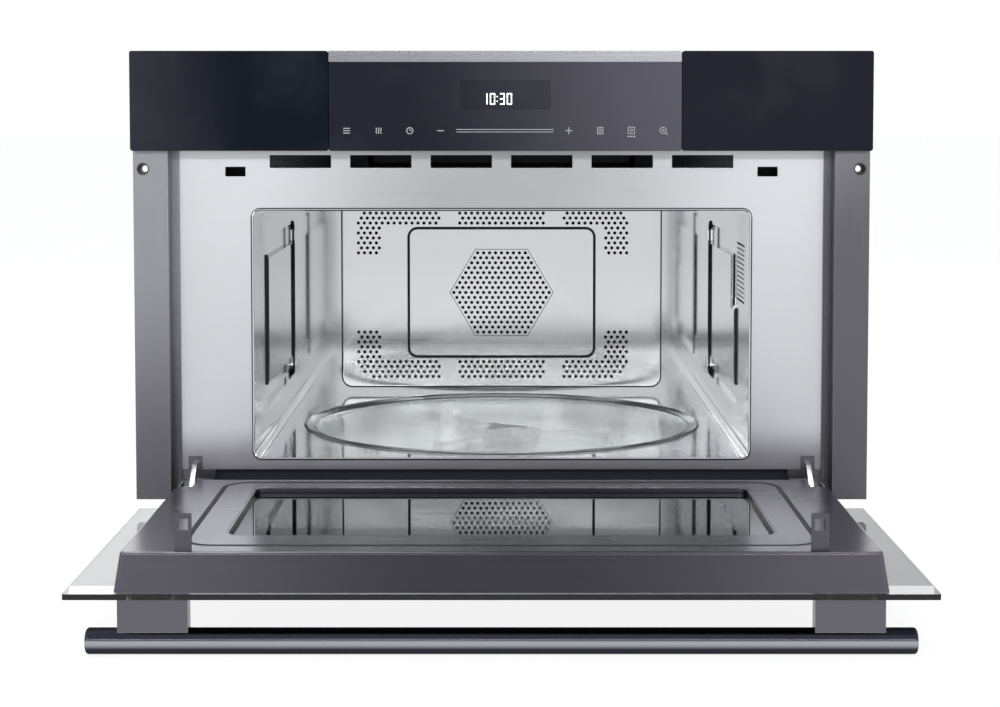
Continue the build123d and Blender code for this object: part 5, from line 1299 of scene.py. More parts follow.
@dataclass
class FrontFrame:
    """Brushed plate about the cavity's mouth, with its vents, and the two side trims."""

    edge: float = 0.35
    bead_radius: float = 0.8
    bead_sink: float = 0.5
    bead_inset: float = 1.5
    mouth_corner: float = 6.6
    line_width: float = 0.75
    line_lap: float = 0.1
    line_depth: Point2 = (-0.05, 0.2)
    shade_reach: float = 161.0
    shade_depth: Point2 = (0.3, 0.9)
    shade_drop: Point2 = (2.6, 1.2)
    vent_count: int = 6
    vent_width: float = 50.0
    vent_pitch: float = 65.7
    lip_height: float = 1.6
    lip_depth: float = 7.0
    lip_margin: float = 2.0
    lip_gap: float = 0.4
    toe_reach: float = 239.0
    toe_foot: float = 16.0
    toe_gap: float = 0.4
    toe_thickness: float = 0.5
    shield_across: Point2 = (236.0, 273.0)
    shield_levels: Point2 = (-8.0, 26.0)
    shield_depth: Point2 = (1.1, 1.9)
    hole_across: float = 289.0
    hole_level: float = 289.3
    eyelet_radius: float = 5.0
    eyelet_bore: float = 4.1
    eyelet_sink: float = 1.6
    eyelet_rise: float = 0.4

    def build(self) -> None:
        """Builds and dresses the plate and the trims."""
        dress_node("front_plate", FINISHES.of(PLATE), self.edge)
        dress_node("side_trims", FINISHES.of(TRIM_STEEL), 0.5)
        self.build_mouth_bead()
        self.build_vent_lips()
        self.build_eyelets()
        self.build_toe()

    def build_mouth_bead(self) -> None:
        """Runs a fine folded bead about the cavity's mouth, with a painted shadow line round it and a strip
        of painted shade under its top edge.
        """
        low, high = node_box("cavity_back")
        front = node_box("front_plate")[0].y
        inset = self.bead_inset
        outline = rounded_outline((low.x + inset, high.x - inset), (low.z + inset, high.z - inset),
                                  self.mouth_corner)
        draft = Draft()
        draft.bead([Plane.FRONT.place(point, front + self.bead_sink) for point in outline],
                   self.bead_radius)
        set_piece(draft.to_mesh("mouth_bead"), FINISHES.of(MIRROR_STEEL), "case", "polished_cavity")
        draft = Draft()
        rings = [rounded_outline((low.x + inset - grow, high.x - inset + grow),
                                 (low.z + inset - grow, high.z - inset + grow), self.mouth_corner + grow)
                 for grow in (self.bead_radius + self.line_width, self.bead_radius - self.line_lap)]
        draft.hoop(rings[0], rings[1], Plane.FRONT, front + self.line_depth[0],
                   front + self.line_depth[1])
        draft.box((-self.shade_reach, front + self.shade_depth[0], high.z - self.shade_drop[0]),
                  (self.shade_reach, front + self.shade_depth[1], high.z - self.shade_drop[1]))
        set_piece(draft.to_mesh("mouth_shadow_line"), FINISHES.of(SHADOW_GAP), "case", "black_plastic")

    def build_toe(self) -> None:
        """Lines the toe with a dark strip of painted shade and closes the hinge notches from behind."""
        low, high = node_box("base_pan")
        plate = node_box("front_plate")[0]
        draft = Draft()
        draft.prism(rounded_outline((-self.toe_reach, self.toe_reach),
                                    (self.toe_foot, high.z - self.toe_gap), 1.0),
                    Plane.FRONT, low.y - self.toe_thickness, low.y)
        set_piece(draft.to_mesh("toe_strip"), FINISHES.of(SHADOW_GAP), "case", "black_plastic")
        draft = Draft()
        for side in (-1, 1):
            near, far = sorted(side * reach for reach in self.shield_across)
            foot, head = (plate.z + level for level in self.shield_levels)
            draft.prism(rounded_outline((near, far), (foot, head), 1.5), Plane.FRONT,
                        plate.y + self.shield_depth[0], plate.y + self.shield_depth[1])
        set_piece(rounded_edges(draft.to_mesh("hinge_shields"), 0.2), FINISHES.of(POST_STEEL), "case",
                  "plain_steel")

    def build_vent_lips(self) -> None:
        """Folds a bright lip along the lower edge of every vent."""
        foot = node_box("exhaust_duct")[0].z + self.lip_margin
        front = node_box("front_plate")[0].y
        half = self.vent_width / 2 - self.lip_gap
        draft = Draft()
        outline = [(front + 1.0, foot), (front + self.lip_depth, foot),
                   (front + self.lip_depth, foot + self.lip_height), (front + 2.2, foot + 0.6)]
        draft.prism(outline, Plane.SIDE, -half, half)
        holder = tool_object("vent_lip", draft.to_mesh("vent_lip"))
        start = -(self.vent_count - 1) / 2 * self.vent_pitch
        mesh = settled(holder, MAKERS.row, {
            "Count": self.vent_count, "Start": (start * MM, 0.0, 0.0),
            "Step": (self.vent_pitch * MM, 0.0, 0.0), "Finish": FINISHES.of(PLAIN_STEEL)}, "vent_lips")
        set_piece(mesh, FINISHES.of(PLAIN_STEEL), "case", "plain_steel")

    def build_eyelets(self) -> None:
        """Sets a dark ring in each trim's screw hole."""
        front = node_box("side_trims")[0].y
        draft = Draft()
        for side in (-1, 1):
            profile = [(self.eyelet_bore, self.eyelet_sink), (self.eyelet_radius, self.eyelet_sink),
                       (self.eyelet_radius, -0.25), (self.eyelet_radius - 0.3, -self.eyelet_rise),
                       (self.eyelet_bore, -self.eyelet_rise), (self.eyelet_bore, self.eyelet_sink)]
            draft.turned(profile, (side * self.hole_across, front, self.hole_level), Plane.FRONT, 32)
        set_piece(draft.to_mesh("hole_eyelets"), FINISHES.of(BLACK_PLASTIC), "case", "black_plastic")


@dataclass
class Cavity:
    """Polished oven chamber with its perforated tray."""

    fan_level: float = 151.9
    hole_pitch: float = 6.05
    row_pitch: float = 5.05
    hole_radius: float = 1.7
    hexagon_rows: int = 8
    corner_rows: int = 13
    outer_rows: int = 16
    hole_reach: int = 25
    middle_field: float = 7.0
    side_field: float = 10.5
    corner_field: Point2 = (20.5, 24.0)
    lowest_reach: float = 21.5
    sheet: float = 0.8
    groove: Point2 = (94.3, 65.5)
    groove_width: float = 2.4
    groove_depth: float = 2.0
    groove_corner: float = 9.0
    groove_edge: float = 0.3
    tray_corner: float = 10.0
    tray_bend: Point2 = (1.2, 0.35)
    groove_fill: Point2 = (0.9, 1.9)
    hexagon_reach: Point3 = (8.71, 4.4, 8.77)
    hexagon_line: float = 0.988
    outline_width: float = 1.1
    chamber: Point2 = (145.0, 80.0)
    right_inset: float = 3.0
    half: float = 204.4
    bead_height: float = 1.7
    bead_width: float = 1.0
    rear_bead: Point3 = (71.0, 79.6, 229.2)
    front_bead: Point3 = (-149.7, 97.6, 211.6)
    front_bead_right: Point3 = (-149.7, 97.6, 165.0)
    upper_bead_right: Point3 = (-137.5, 166.0, 211.6)
    pane_gap: float = 1.0
    pane_thickness: float = 0.6
    pane_inset: float = 3.0
    well_gap: float = 6.0
    well_depth: float = 17.6
    well_draft: float = 3.0
    lining: float = 0.3
    lining_gap: float = 0.05
    lip: float = 4.8
    lip_rise: float = 0.15
    lip_lap: float = 0.2
    fold_angle: float = 32.0

    def build(self) -> None:
        """Builds and dresses the chamber."""
        mirror = FINISHES.of(MIRROR_STEEL)
        sheets = {
            "cavity_ceiling": MIRROR_STEEL,
            "cavity_wall_left": MIRROR_STEEL,
            "cavity_floor": FLOOR_STEEL,
            "cavity_wall_right": BRIGHT_STEEL,
        }
        for node, finish in sheets.items():
            dress_node(node, FINISHES.of(finish), 0.0, smooth=self.fold_angle)
        keep_node("cavity_back", mirror)
        dress_node("grill_shield", mirror, 0.3)
        keep_node("port_cover", FINISHES.of(MICA))
        self.build_tray()
        self.build_dark_lines()
        self.build_wall_beads()
        self.build_lamp_pane()
        self.build_well_lining()

    def hole_rows(self) -> list[tuple[int, list[float]]]:
        """Lists the tray's holes.

        Returns:
            For each row, counted from the fan's level, its number and its holes' places across in
            hole pitches.
        """
        rows = []
        for row in range(-self.outer_rows - 1, self.outer_rows + 1):
            away = abs(row)
            shift = 0.0 if row % 2 == 0 else 0.5
            places = [count + shift for count in range(-self.hole_reach, self.hole_reach + 1)]
            kept = [place for place in places
                    if self.has_hole(row, away, abs(place), 0.0 if place < 0 else self.right_inset)]
            if kept:
                rows.append((row, kept))
        return rows

    def has_hole(self, row: int, away: int, across: float, inset: float) -> bool:
        """Tells whether the lattice has a hole at a place.

        Args:
            row: number of the row, counted from the fan's level.
            away: how many rows it is from the fan's level.
            across: how many hole pitches the place is from the middle.
            inset: how many hole pitches the outer field is set inwards on this side.

        Returns:
            Whether there is a hole.
        """
        start, end = self.corner_field
        at_side = start - inset <= across <= end - inset
        if away <= self.hexagon_rows:
            hexagon = across <= self.hexagon_rows - away / 2
            return hexagon or (away == self.hexagon_rows and at_side)
        if away <= self.corner_rows:
            return at_side
        taper = 0.5 * (away - self.corner_rows - 1)
        reach = self.lowest_reach if row < -self.outer_rows else end - taper
        return across <= self.middle_field or self.side_field <= across <= reach - inset

    def build_tray(self) -> None:
        """Presses the tray with its grooved panel and cuts every hole."""
        low, high = node_box("fan_baffle")
        middle = self.fan_level
        front, back = low.y, high.y
        thin = self.sheet
        half, drop = self.groove
        wide = self.groove_width / 2

        def tray(inset: float, y: float) -> list[Vector]:
            """Gives the tray's outline, drawn in by an inset."""
            outline = rounded_outline((low.x + inset, high.x - inset), (low.z + inset, high.z - inset),
                                      self.tray_corner - inset)
            return [Plane.FRONT.place(point, y) for point in outline]

        def panel(grow: float, y: float) -> list[Vector]:
            """Gives the panel's outline, drawn out by a growth."""
            outline = rounded_outline((-half - grow, half + grow),
                                      (middle - drop - grow, middle + drop + grow),
                                      self.groove_corner + grow)
            return [Plane.FRONT.place(point, y) for point in outline]

        floor = front + self.groove_depth
        bend, halfway = self.tray_bend
        edge = self.groove_edge
        draft = Draft()
        rings = [draft.loop(points) for points in (
            tray(thin, back), tray(0.0, back), tray(0.0, front + bend), tray(halfway, front + halfway),
            tray(bend, front), panel(wide + edge, front), panel(wide, front + edge), panel(wide, floor),
            panel(-wide, floor), panel(-wide, front + edge), panel(-wide - edge, front))]
        draft.skin(rings)
        draft.mesh.faces.new(rings[-1])
        inner = [draft.loop(points) for points in (
            tray(thin + 1.0, front + thin), panel(wide + thin, front + thin),
            panel(wide + thin, back), panel(-wide - thin, back), panel(-wide - thin, front + thin))]
        draft.skin([rings[0]] + inner)
        draft.mesh.faces.new(inner[-1])
        sheet = tool_object("tray_sheet", draft.to_mesh("tray_sheet"))
        bpy.context.scene.collection.objects.link(sheet)
        places = [Plane.FRONT.place((place * self.hole_pitch, middle + row * self.row_pitch),
                                    front + thin / 2)
                  for row, across in self.hole_rows() for place in across]
        holder = points_object("tray_holes", places, [Vector((0, -1, 0))] * len(places))
        mesh = settled(holder, MAKERS.perforate, {
            "Sheet": sheet, "Radius": self.hole_radius * MM, "Depth": 2.0 * MM,
            "Finish": FINISHES.of(TRAY_STEEL)}, "perforated_tray")
        bpy.data.objects.remove(sheet)
        mesh.shade_smooth()
        mesh.set_sharp_from_angle(angle=radians(SMOOTH_ANGLE))
        set_piece(rounded_edges(mesh), FINISHES.of(TRAY_STEEL), "case", "polished_cavity", "fan_baffle")
        LOG.info("tray with %d holes", len(places))

    def build_dark_lines(self) -> None:
        """Fills the panel's groove, the tray's outline and the hexagon's edge with dark lines of painted
        shade, and lays painted shade behind the tray's holes outside the chamber's mouth.
        """
        low, high = node_box("fan_baffle")
        middle = self.fan_level
        half, drop = self.groove
        wide = self.groove_width / 2 - 0.1
        draft = Draft()

        def outline(grow: float) -> list[Point2]:
            """Gives the groove's middle line, drawn out by a growth."""
            return rounded_outline((-half - grow, half + grow),
                                   (middle - drop - grow, middle + drop + grow),
                                   self.groove_corner + grow)

        draft.hoop(outline(wide), outline(-wide), Plane.FRONT, low.y + self.groove_fill[0],
                   low.y + self.groove_fill[1])
        gap = self.outline_width
        outer = rounded_outline((low.x - gap, high.x + gap), (low.z - gap, high.z + gap),
                                self.tray_corner + gap)
        inner = rounded_outline((low.x + 0.3, high.x - 0.3), (low.z + 0.3, high.z - 0.3),
                                self.tray_corner - 0.3)
        draft.hoop(outer, inner, Plane.FRONT, high.y - 0.5, high.y - 0.05)
        across = self.hexagon_reach[0] * self.hole_pitch
        corner = self.hexagon_reach[1] * self.hole_pitch
        up = self.hexagon_reach[2] * self.row_pitch
        hexagon = [(across, 0.0), (corner, up), (-corner, up), (-across, 0.0), (-corner, -up),
                   (corner, -up)]
        thin = self.hexagon_line
        draft.hoop([(first, middle + second) for first, second in hexagon],
                   [(first * thin, middle + second * thin) for first, second in hexagon],
                   Plane.FRONT, low.y - 0.06, low.y + 0.1)
        painted_shade_backing = rounded_outline((low.x + 2.0, high.x - 2.0), (low.z + 2.0, high.z - 2.0), 8.0)
        mouth = rounded_outline((-self.chamber[0], self.chamber[0]),
                                (middle - self.chamber[1], middle + self.chamber[1]), 4.0)
        draft.hoop(painted_shade_backing, mouth, Plane.FRONT, high.y - 1.4, high.y - 0.1)
        set_piece(draft.to_mesh("tray_dark_lines"), FINISHES.of(SHADOW_GAP), "case", "black_plastic")

    def build_wall_beads(self) -> None:
        """Raises the slim upright beads of the side walls, dark with painted shade for the lines along the
        walls' pressed channels.
        """
        draft = Draft()
        rows = ((-1, self.rear_bead), (-1, self.front_bead), (1, self.rear_bead),
                (1, self.front_bead_right), (1, self.upper_bead_right))
        for side, (y, low, high) in rows:
            round_off = self.bead_height * 0.8
            inner = side * (self.half - self.bead_height)
            outer = side * (self.half + 0.1)
            outline = [(outer, low), (inner + side * round_off * 0.6, low), (inner, low + round_off),
                       (inner, high - round_off), (inner + side * round_off * 0.6, high), (outer, high)]
            draft.prism(outline, Plane.FRONT, y, y + self.bead_width)
        set_piece(draft.to_mesh("wall_beads"), FINISHES.of(SHADOW_GAP), "case", "black_plastic")

    def build_lamp_pane(self) -> None:
        """Sets a pale pane behind the lamp's slots."""
        low, high = node_box("cavity_lamp")
        draft = Draft()
        start = self.half + self.pane_gap
        inset = self.pane_inset
        draft.box((start, low.y + inset, low.z + inset),
                  (start + self.pane_thickness, high.y - inset, high.z - inset))
        set_piece(draft.to_mesh("lamp_pane"), FINISHES.of(PALE_PLASTIC), "case", "pale_plastic")

    def build_well_lining(self) -> None:
        """Lays a band on the sloping side of the turntable's well, with a flat lip about the plate."""
        low, high = node_box("turntable_plate")
        mouth = (high.x - low.x) / 2 + self.well_gap - self.lining_gap
        foot = mouth - self.well_draft
        bottom = node_box("cavity_floor")[0].z + self.sheet
        level = bottom + self.well_depth + self.lip_rise
        start = bottom + self.lining_gap
        thin = self.lining
        draft = Draft()
        draft.turned([(foot, start), (mouth, level - thin), (mouth + self.lip_lap, level),
                      (mouth - self.lip, level), (mouth - self.lip, level - thin),
                      (mouth - thin, level - thin), (foot - thin, start), (foot, start)],
                     ((low.x + high.x) / 2, (low.y + high.y) / 2, 0.0), Plane.TOP, 128)
        set_piece(draft.to_mesh("well_lining"), FINISHES.of(FLOOR_STEEL), "case", "polished_cavity")


@dataclass
class Turntable:
    """Glass plate with its raised rim, the coupler and the roller support."""

    thickness: float = 3.6
    rim_width: float = 9.0
    rim_round: float = 1.2
    under_flat: float = 22.0
    under_curve: float = 14.0
    upper_flat: float = 24.0
    upper_curve: float = 8.0
    outer_line: Point2 = (0.5, 0.9)
    inner_line: Point2 = (0.6, 3.0)
    line_half: Point2 = (0.35, 0.3)
    parts: int = 128

    def build(self) -> None:
        """Builds the plate and dresses what carries it."""
        low, high = node_box("turntable_plate")
        radius = (high.x - low.x) / 2
        centre = ((low.x + high.x) / 2, (low.y + high.y) / 2, 0.0)
        top = low.z + self.thickness
        round_off = self.rim_round
        inner = radius - self.rim_width
        profile = [(0.0, low.z), (inner - self.under_flat, low.z)]
        for step in range(9):
            share = step / 8
            profile.append((inner - self.under_curve
                            + share * (self.under_curve + self.rim_width - round_off),
                            low.z + (high.z - 2.4 - low.z) * share * share))
        for step in range(1, 7):
            angle = -pi / 3 + step / 6 * (pi + pi / 3 - pi / 6)
            profile.append((radius - round_off + round_off * cos(angle),
                            high.z - round_off + round_off * sin(angle)))
        for step in range(1, 9):
            share = 1 - step / 8
            profile.append((inner - self.upper_curve
                            + share * (self.upper_curve + self.rim_width - 2 * round_off - 0.6),
                            top + (high.z - 1.2 - top) * share * share))
        profile += [(inner - self.upper_flat, top), (0.0, top)]
        draft = Draft()
        draft.turned(profile, centre, Plane.TOP, self.parts)
        set_piece(draft.to_mesh("glass_turntable", 50.0), FINISHES.of(PLATTER_GLASS), "turntable",
                  "turntable_glass", "turntable_plate")
        self.build_edge_lines(centre, radius, high.z)
        pale = FINISHES.of(PALE_PLASTIC)
        dress_node("turntable_coupler", pale, 0.4)
        dress_node("roller_support", pale, 0.4)
        for node in ("roller_1", "roller_2", "roller_3"):
            dress_node(node, pale, 0.3)
        keep_node("turntable_motor", FINISHES.of(PLAIN_STEEL))

    def build_edge_lines(self, centre: Point3, radius: float, top: float) -> None:
        """Draws, as painted reflection, the two dark lines that the thick glass of the rim shows.

        Args:
            centre: centre of the plate.
            radius: radius of the plate.
            top: level of the rim's top.
        """
        draft = Draft()
        across, up = self.line_half
        lines = ((radius - self.outer_line[0], top - self.outer_line[1]),
                 (radius - self.rim_width + self.inner_line[0], top - self.inner_line[1]))
        for reach, level in lines:
            profile = [(reach - across, level - up), (reach + across, level - up),
                       (reach + across, level + up), (reach - across, level + up),
                       (reach - across, level - up)]
            draft.turned(profile, centre, Plane.TOP, self.parts)
        set_piece(draft.to_mesh("turntable_edge_lines"), FINISHES.of(LINE_GLASS), "turntable",
                  "turntable_glass")


class Ink(Draft):
    """Thin printed shapes on the control panel's face."""

    def __init__(self, face: float, height: float = 0.12) -> None:
        """Starts a print on a face at a depth, with the ink's height."""
        super().__init__()
        self.back = face
        self.front = face - height

    def bar(self, centre: Point2, size: Point2) -> None:
        """Prints a bar.

        Args:
            centre: its centre.
            size: its width and height.
        """
        x, z = centre
        across, up = size[0] / 2, size[1] / 2
        outline = [(x - across, z - up), (x + across, z - up), (x + across, z + up), (x - across, z + up)]
        self.prism(outline, Plane.FRONT, self.front, self.back)

    def ring(self, centre: Point2, radius: float, width: float, parts: int = 20) -> None:
        """Prints a round line.

        Args:
            centre: its centre.
            radius: its outer radius.
            width: width of the line.
            parts: the number of straight parts in it.
        """
        x, z = centre
        circles = [[(x + r * cos(FULL_TURN * i / parts), z + r * sin(FULL_TURN * i / parts))
                    for i in range(parts)] for r in (radius, radius - width)]
        self.hoop(circles[0], circles[1], Plane.FRONT, self.front, self.back)

    def square(self, centre: Point2, size: Point2, width: float) -> None:
        """Prints a square line.

        Args:
            centre: its centre.
            size: its outer width and height.
            width: width of the line.
        """
        x, z = centre
        across, up = size[0] / 2, size[1] / 2
        outer = [(x - across, z - up), (x + across, z - up), (x + across, z + up), (x - across, z + up)]
        inner = [(x - across + width, z - up + width), (x + across - width, z - up + width),
                 (x + across - width, z + up - width), (x - across + width, z + up - width)]
        self.hoop(outer, inner, Plane.FRONT, self.front, self.back)

    def stroke(self, start: Point2, end: Point2, width: float) -> None:
        """Prints a straight line.

        Args:
            start: the point that it runs from.
            end: the point that it runs to.
            width: width of the line.
        """
        along = Vector((end[0] - start[0], end[1] - start[1])).normalized() * width / 2
        side = Vector((-along.y, along.x))
        outline = [(start[0] - side.x, start[1] - side.y), (end[0] - side.x, end[1] - side.y),
                   (end[0] + side.x, end[1] + side.y), (start[0] + side.x, start[1] + side.y)]
        self.prism(outline, Plane.FRONT, self.front, self.back)


class Segment(Enum):
    """Lit bars that make each digit, lettered clockwise from the top with the middle last."""

    NOUGHT = "abcdef"
    ONE = "bc"
    THREE = "abgcd"


@dataclass
class ControlPanel:
    """Glass control panel with its strip, clock window and touch symbols."""

    symbol_level: float = 320.2
    symbol_size: float = 5.6
    line: float = 0.62
    menu: float = -123.9
    waves: float = -98.3
    clock: float = -73.4
    minus: float = -48.8
    slider: Point2 = (-36.2, 41.6)
    plus: float = 53.8
    programme: float = 79.0
    memory: float = 103.9
    fan: float = 129.3
    digits_start: float = -12.2
    digit_level: Point2 = (341.0, 350.2)
    digit_share: float = 0.46
    digit_line: float = 0.95

    def build(self) -> None:
        """Builds and dresses the panel."""
        dress_node("fascia_side_glass", FINISHES.of(NAVY_GLASS), 0.45)
        dress_node("fascia_centre", FINISHES.of(GREY_GLASS), 0.3)
        dress_node("fascia_strip", FINISHES.of(STRIP), 0.3)
        dress_node("display_lens", FINISHES.of(LENS_GLASS), 0.2)
        keep_node("fascia_carrier", FINISHES.of(BLACK_PLASTIC))
        keep_node("control_board", FINISHES.of(BOARD))
        self.build_symbols()
        self.build_digits()

    def build_symbols(self) -> None:
        """Prints the touch symbols."""
        face = node_box("fascia_centre")[0].y
        ink = Ink(face)
        z, size, line = self.symbol_level, self.symbol_size, self.line
        for rise in (-1.9, 0.0, 1.9):
            ink.bar((self.menu, z + rise), (size, line))
        for start in (-1.8, 0.0, 1.8):
            for step in range(3):
                lean = 0.7 if step % 2 else -0.7
                low = z - 2.4 + step * 1.6
                middle = self.waves + start
                ink.stroke((middle - lean / 2, low), (middle + lean / 2, low + 1.6), line)
        ink.ring((self.clock, z), size / 2, line)
        ink.bar((self.clock, z + 0.8), (line * 0.8, 1.8))
        ink.bar((self.clock + 0.7, z), (1.6, line * 0.8))
        ink.bar((self.minus, z), (size, line))
        middle = (self.slider[0] + self.slider[1]) / 2
        for rise in (-1.0, 1.0):
            ink.bar((middle, z + rise), (self.slider[1] - self.slider[0], line * 0.75))
        ink.bar((self.plus, z), (size, line))
        ink.bar((self.plus, z), (line, size))
        ink.square((self.programme, z), (size * 0.85, size), line * 0.8)
        for rise in (-1.2, 0.0, 1.2):
            ink.bar((self.programme, z + rise), (size * 0.45, line * 0.7))
        ink.square((self.memory, z + 0.3), (size, size), line * 0.8)
        ink.ring((self.memory, z + 0.3), 1.3, line * 0.7, 12)
        for across in (-2.2, 0.0, 2.2):
            ink.bar((self.memory + across, z - 4.6), (1.5, 1.0))
        ink.ring((self.fan, z + 0.3), size / 2, line * 0.8)
        ink.ring((self.fan, z + 0.3), 1.1, line * 0.7, 12)
        ink.stroke((self.fan + 1.8, z - 1.6), (self.fan + 3.6, z - 3.0), line)
        set_piece(ink.to_mesh("panel_symbols"), FINISHES.of(WHITE_PRINT), "case", "display_glass")

    def build_digits(self) -> None:
        """Lights the clock's digits: half past ten."""
        face = node_box("display_lens")[0].y
        ink = Ink(face)
        low, high = self.digit_level
        tall = high - low
        wide = tall * self.digit_share
        start = self.digits_start
        steps = ((Segment.ONE, -3.2), (Segment.NOUGHT, 2.9), (None, 8.8), (Segment.THREE, 10.6),
                 (Segment.NOUGHT, 16.4))
        for digit, offset in steps:
            if digit is None:
                for level in (0.3, 0.7):
                    ink.bar((start + offset, low + tall * level), (0.9, 0.9))
            else:
                self.digit(ink, digit, (start + offset, low), (wide, tall))
        set_piece(ink.to_mesh("clock_digits"), FINISHES.of(LIT_PRINT), "case", "display_glass")

    def digit(self, ink: Ink, digit: Segment, corner: Point2, size: Point2) -> None:
        """Lights one digit.

        Args:
            ink: the print that takes it.
            digit: which digit.
            corner: its lower left corner.
            size: its width and height.
        """
        x, z = corner
        wide, tall = size
        thick = self.digit_line
        half = tall / 2
        bars = {
            "a": ((x + wide / 2, z + tall - thick / 2), (wide - thick * 0.8, thick)),
            "g": ((x + wide / 2, z + half), (wide - thick * 0.8, thick)),
            "d": ((x + wide / 2, z + thick / 2), (wide - thick * 0.8, thick)),
            "f": ((x + thick / 2, z + half * 1.5), (thick, half - thick * 0.55)),
            "e": ((x + thick / 2, z + half * 0.5), (thick, half - thick * 0.55)),
            "b": ((x + wide - thick / 2, z + half * 1.5), (thick, half - thick * 0.55)),
            "c": ((x + wide - thick / 2, z + half * 0.5), (thick, half - thick * 0.55)),
        }
        for name in digit.value:
            ink.bar(*bars[name])


@dataclass
class Door:
    """Drop-down door: glass, tapered pan, window, seal, hooks and hinges."""

    pan_edge: float = 0.8
    print_height: float = 0.12
    print_depth: float = 0.06
    print_inset: float = 1.6
    print_corner: float = 5.0
    window_side: float = 6.0
    window_corner: float = 10.0

    def build(self) -> None:
        """Builds and dresses the door."""
        dress_node("door_glass_outer", FINISHES.of(DOOR_GLASS), 0.5)
        dress_node("door_pan", FINISHES.of(PAN_STEEL), self.pan_edge, 3)
        dress_node("window_bezel", FINISHES.of(PAN_STEEL), 0.5)
        dress_node("door_glass_inner", FINISHES.of(WINDOW), 0.4)
        dress_node("door_seal", FINISHES.of(RUBBER), 0.3)
        plain = FINISHES.of(PLAIN_STEEL)
        dress_node("latch_hooks", FINISHES.of(HOOK_STEEL), 0.3)
        dress_node("hinge_channels", plain, 0.2)
        dress_node("hinge_pins", plain, 0.4)
        keep_node("door_screen", plain)
        self.build_print()

    def build_print(self) -> None:
        """Sets the dark border just inside the back of the door's glass, under the pan."""
        low, high = node_box("door_pan")
        pane_low, pane_high = node_box("door_glass_inner")
        inset = self.print_inset
        side = self.window_side
        outer = rounded_outline((low.x + inset, high.x - inset), (low.y + inset, high.y - inset),
                                self.print_corner)
        inner = rounded_outline((pane_low.x + side, pane_high.x - side),
                                (pane_low.y + side, pane_high.y - side), self.window_corner)
        draft = Draft()
        back = low.z - self.print_depth
        draft.hoop(outer, inner, Plane.TOP, back - self.print_height, back)
        set_piece(draft.to_mesh("door_border_print"), FINISHES.of(BORDER_PRINT), "door", "black_plastic")


@dataclass
class Handle:
    """Round bar on two flat posts."""

    end_round: float = 2.2
    parts: int = 48

    def build(self) -> None:
        """Builds the bar and dresses the posts."""
        low, high = node_box("handle_bar")
        radius = (high.z - low.z) / 2
        centre = (0.0, (low.y + high.y) / 2, (low.z + high.z) / 2)
        profile = [(0.0, low.x)]
        for step in range(6):
            angle = pi / 2 * step / 5
            profile.append((radius - self.end_round * (1 - sin(angle)),
                            low.x + self.end_round * (1 - cos(angle))))
        profile += [(point[0], -point[1]) for point in reversed(profile)]
        draft = Draft()
        draft.turned(profile, centre, Plane.SIDE, self.parts)
        set_piece(draft.to_mesh("round_handle_bar"), FINISHES.of(BAR_STEEL), "door", "tinted_steel",
                  "handle_bar")
        dress_node("handle_posts", FINISHES.of(POST_STEEL), 0.5)
        dress_node("handle_screws", FINISHES.of(PLAIN_STEEL), 0.2)


